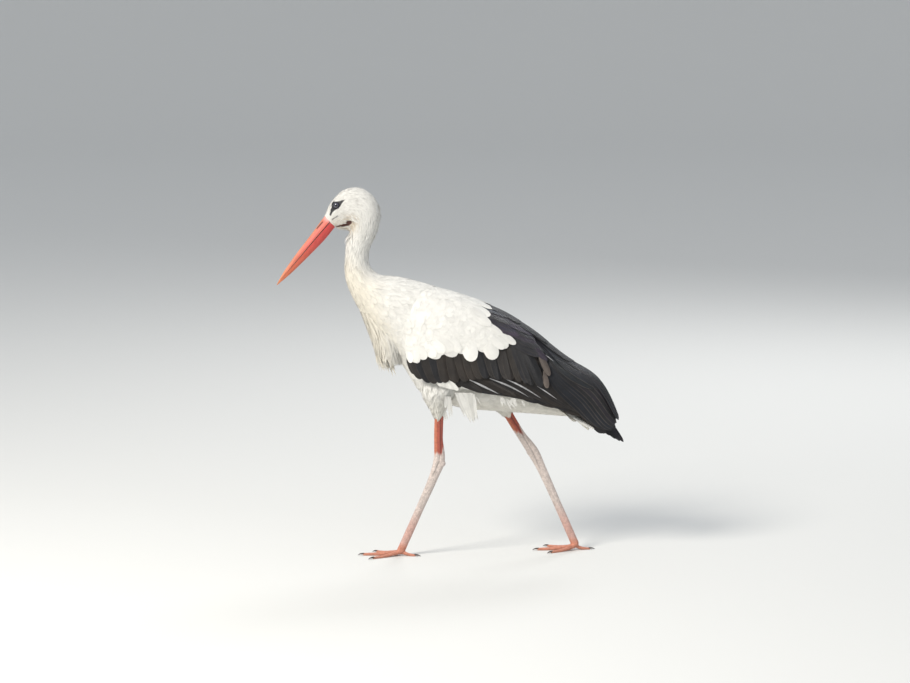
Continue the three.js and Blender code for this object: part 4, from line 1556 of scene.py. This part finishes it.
# %% Colour of the bill
LIT_RIDGE_ORANGE, CERE_PINK = np.array([0.64, 0.30, 0.16]), np.array([0.66, 0.40, 0.40])


def horn_colour(piece, base, middle, tip):
    """Horn that changes along the bill, with painted shade in the nostril slit and along the gape."""
    places = np.array([v.co[:] for v in piece.data.vertices])
    x, y, z = in_mm(places)
    down = np.clip((745 - z) / 145, 0, 1)
    colour = np.stack([np.interp(down, [0, 0.4, 1], column) for column in zip(base, middle, tip)], -1)
    # painted light: the top ridge of the upper bill is lighter and more orange
    ridge = near_to(from_line(CULMEN(np.linspace(0, 1, 16)), x, z), 3.2)
    colour = towards(colour, LIT_RIDGE_ORANGE, 0.55 * ridge)
    colour = towards(colour, CERE_PINK, 0.5 * blend(9, 1, from_line(CERE, x, z)))
    # painted shade in the nostril slit and along the gape between the two sheaths
    slit = near_to(from_line(NOSTRIL, x, z), 1.3) * blend(1.5, 4, np.abs(y))
    gape = near_to(from_line(GAPE(np.linspace(0.05, 0.97, 24)), x, z), 0.9) * blend(1.0, 0.55, down)
    paint(piece.data, "horn", darker(darker(colour, 0.93 * slit), 0.80 * gape))


# %% Horn material
BILL_SLOPE = math.atan2(749 - 599, 382 - 277)  # from the bill's base down to its tip


def horn_material(name, flat_colour=None):
    """Horn with fine streaks along the bill, in one colour or in the piece's own attribute's."""
    material, tree, shader = new_material(name)
    place = node(tree, "TexCoord")["Object"]
    turned = node(tree, "Mapping", {"Vector": place, "Rotation": (0, BILL_SLOPE, 0)})[0]
    squeezed = node(tree, "Mapping", {"Vector": turned, "Scale": (40, 700, 700)})[0]
    streaks = noise(tree, squeezed, 1, 4)
    shade = flat_colour or node(tree, "Attribute", attribute_name="horn")["Color"]
    connect(shader, {
        "Base Color": tinted(tree, shade, ranged(tree, streaks, 0.76, 1.12, *NOISE_RANGE)),
        "Normal": bumped(tree, streaks, 0.35, 0.0003),
        "Roughness": ranged(tree, streaks, 0.34, 0.58),
    })
    return material


# %% The two sheaths
bill_horn = horn_material("bill_horn")
bill_upper = sheath("bill_upper_horn", True)
# red horn, paler and pinker on the upper sheath because the light from above on the bill's top is
# painted in
horn_colour(bill_upper, (0.58, 0.135, 0.095), (0.57, 0.11, 0.085), (0.60, 0.19, 0.09))
bill_upper.data.materials.append(bill_horn)
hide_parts("bill_upper")
bill_lower = sheath("bill_lower_horn", False)
horn_colour(bill_lower, (0.52, 0.045, 0.045), (0.54, 0.07, 0.058), (0.60, 0.18, 0.08))
bill_lower.data.materials.append(bill_horn)
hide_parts("bill_lower")

# %% [markdown]
# ## Eyes and claws
# The eye is a ball set deep behind its lids, a dull dark grey with a black pupil, under a clear
# coat that carries the highlight. Its iris ring has a painted bluish tint for the sky's reflection.
# The iris is a ramp over the distance from the eye's middle in
# the side view, so the pupil stays round. A stork's claws are short and flat, like nails.

# %% Eye material
IRIS_EDGE = 7.5 * MM
# the bluish greys of the iris ring paint the sky's reflection into the dark grey iris
IRIS = [  # shares of the way from the middle of the pupil to the edge, and colours there
    (0.0, (0.004, 0.004, 0.005)), (0.40, (0.004, 0.004, 0.006)), (0.45, (0.062, 0.060, 0.095)),
    (0.68, (0.045, 0.042, 0.066)), (0.80, (0.006, 0.005, 0.006)), (1.0, (0.012, 0.008, 0.006)),
]


def eye_material(side):
    material, tree, shader = new_material(f"eye_{side}")
    place = node(tree, "TexCoord")["Object"]
    middle = (EYE.x - 0.6 * MM, 0, EYE.z + 0.5 * MM)
    centred = node(tree, "VectorMath", {0: place, 1: middle}, operation="SUBTRACT")[0]
    flat = node(tree, "VectorMath", {0: centred, 1: (1, 0, 1)}, operation="MULTIPLY")[0]
    distance = node(tree, "VectorMath", {0: flat}, operation="LENGTH")["Value"]
    iris = tree.nodes.new("ShaderNodeValToRGB")
    first, *between_ends, last = IRIS
    iris.color_ramp.elements[0].color = (*first[1], 1)
    iris.color_ramp.elements[1].color = (*last[1], 1)
    for at, colour in between_ends:
        iris.color_ramp.elements.new(at).color = (*colour, 1)
    connect(iris, {0: ranged(tree, distance, 0, 1, 0, IRIS_EDGE)})
    flecks = ranged(tree, noise(tree, place, 900, 2), 0.6, 1.3)
    connect(shader, {
        "Base Color": tinted(tree, iris.outputs[0], flecks),
        "Roughness": 0.12, "Coat Weight": 1.0, "Coat Roughness": 0.03,
    })
    return material


# %% Eyes
for hand, side in SIDES.items():
    bm = bmesh.new()
    bmesh.ops.create_uvsphere(bm, u_segments=64, v_segments=40, radius=EYE_RADIUS)
    bmesh.ops.translate(bm, verts=bm.verts, vec=(EYE.x, hand * EYE.y, EYE.z))
    eye = new_object(f"eyeball_{side}", mesh_from(bm, f"eyeball_{side}"))
    eye.data.materials.append(eye_material(side))
    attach(eye, "root")
    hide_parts(f"eye_{side}")
    print("eyeball", side, "faces", len(eye.data.polygons))

# %% Claws
CLAW_PATH = [(-3, 0.85), (2, 0.82), (6, 0.72)]  # past the toe's end, height as a share of its girth


def claw(hand, turn, reach, girth):
    way = toe_way(hand, turn)
    level = Vector((LEGS[hand][0][0], LEGS[hand][0][1], 0))
    path = [level + way * (reach + far) + above(up * girth) for far, up in CLAW_PATH]
    path.append(level + way * (reach + 11) + above(0.9))
    size = 1 - 0.8 * np.linspace(0, 1, 9) ** 2
    return limb(path, 1.9 * size, 2.5 * size, 16, crosswise(way))


claw_horn = horn_material("claw_horn", (0.065, 0.045, 0.036))
for hand, side in SIDES.items():
    nails = joined([claw(hand, *toe) for toe in TOES])
    nail = new_object(f"nails_{side}", mesh_from(nails, f"nails_{side}"))
    nail.data.materials.append(claw_horn)
    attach(nail, "root")
    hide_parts(*(f"claw_{side}_{toe}" for toe in ("inner", "middle", "outer", "hind")))
    print("nails", side, "faces", len(nail.data.polygons))

# %% [markdown]
# ## The folded wing
# A folded wing is a stack of rows. Small white coverts cover its upper half and end in round tips.
# Below them hang the black greater coverts, and under those lie the secondaries, whose silvery
# outer webs show as pale slips. The long scapulars and tertials of the inner wing cover the rest,
# and the tips of the primaries just show past them. Each row is drawn from a line of roots to a
# line of tips on the wing's own sheet, and each row lies a little higher than the one it covers.

# %% Black plumage shades
BLUE_BLACK = np.array([0.011, 0.015, 0.026])
PURPLE_BLACK = np.array([0.030, 0.020, 0.038])
TEAL_BLACK = np.array([0.010, 0.018, 0.020])
SILVER = np.array([0.60, 0.60, 0.61])
WORN_BROWN = np.array([0.17, 0.135, 0.115])
WORN_EDGE = WORN_BROWN * 1.3
GLOSSY = [BLUE_BLACK, BLACK, PURPLE_BLACK, TEAL_BLACK, BLACK]
DULL = [BROWN_BLACK * 0.7, BLACK, BROWN_BLACK * 0.95, BLACK * 1.2]
FADED_EDGE = np.array([0.15, 0.125, 0.105])
DIM_EDGE = np.array([0.085, 0.072, 0.065])
# the tertials' black, lightened and tinted blue and purple as their gloss looks in the light: painted
# sheen
PAINTED_SHEEN = [PURPLE_BLACK * 1.9, BLACK * 2.4, BLACK * 1.7, PURPLE_BLACK * 1.3, BLUE_BLACK * 1.8]


def dark_shades(places):
    pick = DRAWS.random(places.shape[:-1])[..., None]
    return np.where(pick < 0.5, BLACK, BROWN_BLACK * 0.8)


def pointed_end(x):
    return (0.35 + 0.65 * blend(0, 0.3, x)) * np.sqrt(closing(x, 0.5, 2))


LONG = [Blank(20, pointed_end, ring=RING_LARGE, ragged=0.04) for _ in range(3)]
SLIP = [Blank(10, pointed)]
print("long feather triangles", LONG[0].triangles)


# %% A sheet for the tips of the primaries
def tip_sheet(hand):
    """An upright sheet under the end of the wing, which the tips of the primaries lie on."""

    def place(s, t):
        x = 242.5 + 143 * s + 78 * (0.5 - t) * 0.75
        z = 410 - 161 * s - 78 * (t - 0.5) * 0.66
        return np.stack([x, hand * (33 - 26 * s + 34 * (t - 0.5)), z], -1) * MM

    return Sheet(place, closed=False, steps=(40, 20), outward=1 if hand < 0 else -1)


# %% The rows of the wing, as (u, v) lines of roots and of tips
FLIGHT_ROWS = {
    "secondaries": [
        [[0.20, 0.89], [0.34, 0.80], [0.44, 0.72], [0.53, 0.61], [0.57, 0.5]],
        [[0.36, 0.94], [0.50, 0.93], [0.63, 0.885], [0.70, 0.868], [0.74, 0.866], [0.79, 0.893]],
        11, 18, (-6, -2.5),
    ],
    "primaries": [
        [[0.54, 0.36], [0.55, 0.30], [0.53, 0.2], [0.50, 0.1], [0.47, 0.02]],
        [[0.805, 0.925], [0.872, 0.77], [0.885, 0.5], [0.875, 0.2], [0.85, 0.02]],
        11, [26, 30, 32, 30, 28], (-4.5, -0.8),
    ],
    "last primaries": [
        [[0.62, 0.03], [0.62, 0.2]], [[0.872, 0.03], [0.88, 0.26]], 3, 26, (-3, 4.0),
    ],
    "long tertials": [
        [[0.56, 0.28], [0.53, 0.1], [0.50, 0.02]], [[0.735, 0.42], [0.77, 0.22], [0.76, 0.03]],
        4, 28, (-2.6, -0.2),
    ],
    "greater coverts": [
        [
            [0.0, 0.96], [0.12, 0.76], [0.23, 0.62], [0.31, 0.56], [0.38, 0.48], [0.43, 0.36],
            [0.46, 0.28],
        ],
        [
            [0.115, 1.0], [0.19, 0.99], [0.255, 0.945], [0.335, 0.86], [0.41, 0.80],
            [0.465, 0.768], [0.53, 0.745], [0.60, 0.715],
        ],
        19, [30, 28, 27, 26], (-3.5, -0.2),
    ],
    "tertials": [
        [[0.28, 0.02], [0.29, 0.1], [0.31, 0.17], [0.34, 0.24], [0.38, 0.30], [0.41, 0.34]],
        [[0.47, 0.02], [0.50, 0.09], [0.525, 0.155], [0.53, 0.25], [0.562, 0.30], [0.555, 0.385]],
        8, 32, (-3.0, -0.2),
    ],
    "short tertials": [
        [[0.24, 0.02], [0.24, 0.1], [0.26, 0.17], [0.28, 0.23], [0.31, 0.27]],
        [[0.39, 0.02], [0.425, 0.10], [0.44, 0.17], [0.455, 0.24], [0.48, 0.30]],
        7, 27, (-4.0, 0.0),
    ],
}
SILVER_SLIPS = [  # root, tip and width
    ([0.335, 0.855], [0.455, 0.932], 4.6), ([0.405, 0.798], [0.56, 0.887], 3.8),
    ([0.458, 0.768], [0.60, 0.852], 3.5), ([0.572, 0.725], [0.647, 0.788], 2.4),
]
ODD_FEATHERS = [  # roots, tips, width, rise, tint and edge of the brown and purple ones
    (
        [[0.535, 0.30], [0.54, 0.34]], [[0.60, 0.535], [0.60, 0.54]], 15, (-1.5, 0.6),
        WORN_BROWN, WORN_EDGE,
    ),
    ([[0.575, 0.52]] * 2, [[0.605, 0.695]] * 2, 13, (-1.5, 0.5), WORN_BROWN * 1.15, WORN_EDGE),
    ([[0.50, 0.29]] * 2, [[0.572, 0.375]] * 2, 15, (-1.5, 0.9), PURPLE_BLACK * 1.4, DIM_EDGE),
]


# %% Black rows, the lowest first
def black_rows(hand, side):
    sheet, coat = wings[hand], Coat()
    flip = -hand  # keeps the same edge of each feather on top on both wings

    def under_row(places, u, v):
        return ~white_on_wing(u - 0.03, v) & (u < 0.80) & (v < 0.90)

    def flight(name, tints, **how):
        row(coat, sheet, *FLIGHT_ROWS[name], tints, **how)

    def slip(root, tip, width, rise, bow=0.0):
        row(
            coat, sheet, [root] * 2, [tip] * 2, 1, width, rise, [SILVER],
            blanks=SLIP, loose=0, roll=0, thick=0.4, bow=bow, deep=1.0,
        )

    s, t = scatter(sheet, 9 * MM, under_row)
    grow(coat, sheet, s, t, CONTOUR, 55, 22, (-9, -5), dark_shades, spread=4, thick=0.5, wild=0.3)
    row(
        coat, tip_sheet(hand), [[0.0, 0.40], [0.0, 0.62]], [[1.0, 0.50], [0.93, 0.60], [0.80, 0.70]],
        4, [17, 20, 22], (-2, 0), GLOSSY, roll=0.06 * flip, blanks=LONG, loose=0.1,
    )
    flight("secondaries", DULL, bow=0.03, roll=-0.10 * flip, blanks=LONG, edge=FADED_EDGE)
    for root, tip, width in SILVER_SLIPS:
        slip(root, tip, width, (-2.2, -1.3), bow=0.03)
    flight(
        "primaries", GLOSSY, bow=-0.045 * flip, roll=-0.08 * flip, blanks=LONG, loose=0.2,
        edge=FADED_EDGE * 1.5,
    )
    flight("last primaries", GLOSSY, roll=-0.05 * flip, blanks=LONG, loose=0.1, edge=WORN_EDGE)
    flight("long tertials", GLOSSY, bow=-0.03 * flip, roll=-0.07 * flip, edge=FADED_EDGE * 1.5)
    flight("greater coverts", DULL, bow=0.03, roll=-0.07 * flip, loose=0.8, edge=FADED_EDGE)
    for roots, tips, width, rise, tint, edge in ODD_FEATHERS:
        row(coat, sheet, roots, tips, 1, width, rise, [tint], edge=edge)
    slip([0.566, 0.302], [0.595, 0.320], 2.4, (-0.8, 0.9))
    for name in ("tertials", "short tertials"):
        flight(name, PAINTED_SHEEN, bow=-0.03 * flip, roll=-0.06 * flip, edge=DIM_EDGE * 1.5)
    return coat.finish(f"wing_{side}_black_feathers", black_plumage, slot="black_plumage")


for hand, side in SIDES.items():
    black_rows(hand, side)

# %% [markdown]
# ## Saddle
# Between the wings the back would show through, so five rows of black feathers bridge it. Their
# sheet is the wings' own surface carried over the middle of the back, so they join it smoothly.


# %% Saddle
def saddle(u, t):
    """The wings' own surface carried over the middle of the back, from left to right."""
    half = wing_half_width(u)[..., 0]
    across = (2 * t - 1) * np.minimum(34, 0.6 * half)
    angle = np.arcsin(np.minimum(0.95, (np.abs(across) / half) ** (1 / WING_FULLNESS)))
    drop = math.cos(WING_TOP) - math.cos(WING_BOTTOM)
    down = ((math.cos(WING_TOP) - np.cos(angle)) / drop)[..., None]
    flat = wing_upper(u) * (1 - down) + wing_lower(u) * down
    return np.stack([flat[..., 0], across, flat[..., 1]], -1) * MM


back_sheet = Sheet(saddle, closed=False, steps=(200, 40))
back_sheet.normals *= np.sign(back_sheet.normals[100, 20, 2])
saddle_coat = Coat()
SADDLE_ROWS = [  # u of the roots and of the tips, width and lift of the tips
    (0.55, 0.875, 24, 0.8), (0.47, 0.78, 27, 1.4), (0.38, 0.66, 28, 1.9), (0.345, 0.57, 28, 2.2),
    (0.335, 0.48, 26, 2.4),
]
# one tint, BLACK * 2, is a lighter grey black that paints the gloss on the back: painted sheen
for low, high, wide, lift in SADDLE_ROWS:
    row(
        saddle_coat, back_sheet, [[low, 0.12], [low, 0.88]],
        [[high - 0.02, 0.05], [high, 0.5], [high - 0.02, 0.95]], 4, wide, (-2.5, lift),
        GLOSSY + [BLACK * 2], roll=0.05, blanks=LONG[:2] + VANE[:1], loose=0.8, edge=DIM_EDGE,
    )
saddle_coat.finish("coat_saddle", black_plumage, slot="black_plumage")

# %% [markdown]
# ## White coverts
# The small coverts are a field of round feathers, with a second field that wraps the wing's front
# edge. A field ends in a ragged line, so the scallops over the black are made one at a time, as
# large feathers whose tips stand on the line where the white ends.

# %% Scallops where the white ends
SCALLOPS = [  # root and tip as (u, v), and width
    ((0.02, 0.90), (0.085, 0.935), 20), ((0.05, 0.83), (0.130, 0.865), 24),
    ((0.085, 0.76), (0.165, 0.80), 24), ((0.12, 0.70), (0.20, 0.755), 24),
    ((0.15, 0.65), (0.232, 0.692), 24), ((0.19, 0.60), (0.262, 0.662), 22),
    ((0.26, 0.135), (0.364, 0.222), 27), ((0.27, 0.20), (0.352, 0.285), 24),
    ((0.26, 0.02), (0.362, 0.045), 24), ((0.25, 0.07), (0.333, 0.115), 22),
    ((0.27, 0.055), (0.366, 0.085), 22), ((0.28, 0.26), (0.372, 0.335), 24),
    ((0.31, 0.31), (0.416, 0.374), 17), ((0.29, 0.49), (0.333, 0.698), 34),
    ((0.355, 0.43), (0.406, 0.627), 33), ((0.22, 0.55), (0.288, 0.655), 22),
    ((0.38, 0.36), (0.466, 0.405), 18), ((0.36, 0.40), (0.443, 0.46), 20),
    ((0.35, 0.42), (0.43, 0.505), 18),
]
COVERT_LENGTH, COVERT_WIDTH, COVERT_SPACING = 38, 23, 6.2 * MM
FRONT_WRAP = 0.06  # how far ahead of the wing's front edge the second field starts


def all_white(places):
    return np.broadcast_to(WHITE, places.shape)


# %% White coverts
def white_coverts(hand, side):
    sheet, coat = wings[hand], Coat()
    reach = np.linalg.norm(sheet.along, axis=-1)

    def clear_of_the_black(places, u, v):
        return white_on_wing(u + (COVERT_LENGTH + 2) * MM / reach, v) & (v < 0.985)

    def front(places, u, v):
        return (u < FRONT_WRAP) & (v < 0.86)

    size = COVERT_LENGTH, COVERT_WIDTH
    s, t = scatter(sheet, COVERT_SPACING, clear_of_the_black)
    grow(
        coat, sheet, s, t, CONTOUR, *size, (-2.8, 0.2), all_white,
        spread=4, thick=0.28, wild=0.15, dark=0.95,
    )
    s, t = scatter(sheet, COVERT_SPACING, front)
    grow(coat, sheet, s - FRONT_WRAP, t, CONTOUR, *size, (-9, -0.2), all_white, spread=6, wild=0.4)
    for root, tip, width in SCALLOPS:
        row(
            coat, sheet, [root] * 2, [tip] * 2, 1, width, (-1.5, 0.9), [WHITE * 1.02],
            loose=0.1, roll=0.02, deep=0.95,
        )
    row(
        coat, sheet, [[0.195, 0.925], [0.265, 0.91]], [[0.235, 0.992], [0.305, 0.972]], 6, 11,
        (-4, -1.6), [WHITE * 1.03], loose=0.5, deep=1.0,
    )
    return coat.finish(f"coat_wing_{side}", white_plumage)


for hand, side in SIDES.items():
    white_coverts(hand, side)

# %% [markdown]
# ## Loose tufts
# Below the wing a few soft locks of the flank hang free of the rest. Each lock is drawn on its
# own hanging sheet, so it drops straight from the flank and its points fan out a little.

# %% Flank tufts
TUFTS = {  # x, z and half spread of the roots, then of the tips, then how many and how wide
    -1: [
        (17, 372, 8, 40, 313, 2, 6, 8), (30, 372, 9, 47, 303, 1.5, 7, 8),
        (43, 370, 9, 55.5, 307, 1.5, 7, 8), (34, 372, 14, 49, 332, 9, 8, 9),
        (-6, 364, 6, 0.5, 314, 1, 4, 6), (-9, 362, 4, -10, 336, 2, 3, 5),
        (110, 362, 4, 121, 342, 2, 3, 6), (122, 358, 3, 136, 331, 1, 2, 4),
        (136, 360, 4, 140, 341, 3, 4, 6), (156, 354, 2, 161, 340, 1, 2, 4),
        (54, 364, 3, 67, 344, 1, 2, 3),
    ],
    1: [
        (60, 372, 10, 70, 330, 3, 6, 7), (20, 372, 8, 30, 322, 2, 6, 7),
        (120, 360, 5, 130, 336, 2, 4, 5),
    ],
}
tufts = Coat()
for hand, ends in TUFTS.items():
    for *where, count, width in ends:
        lock(tufts, hand * 82, 392, where, count, width, [WHITE, WHITE * 0.95], inward=0.24)
lock(tufts, -56, 392, (-20, 345, 5, -10.5, 304, 1), 4, 5, [0.9 * WHITE], inward=0.2)
tufts.finish("coat_tufts", white_plumage)
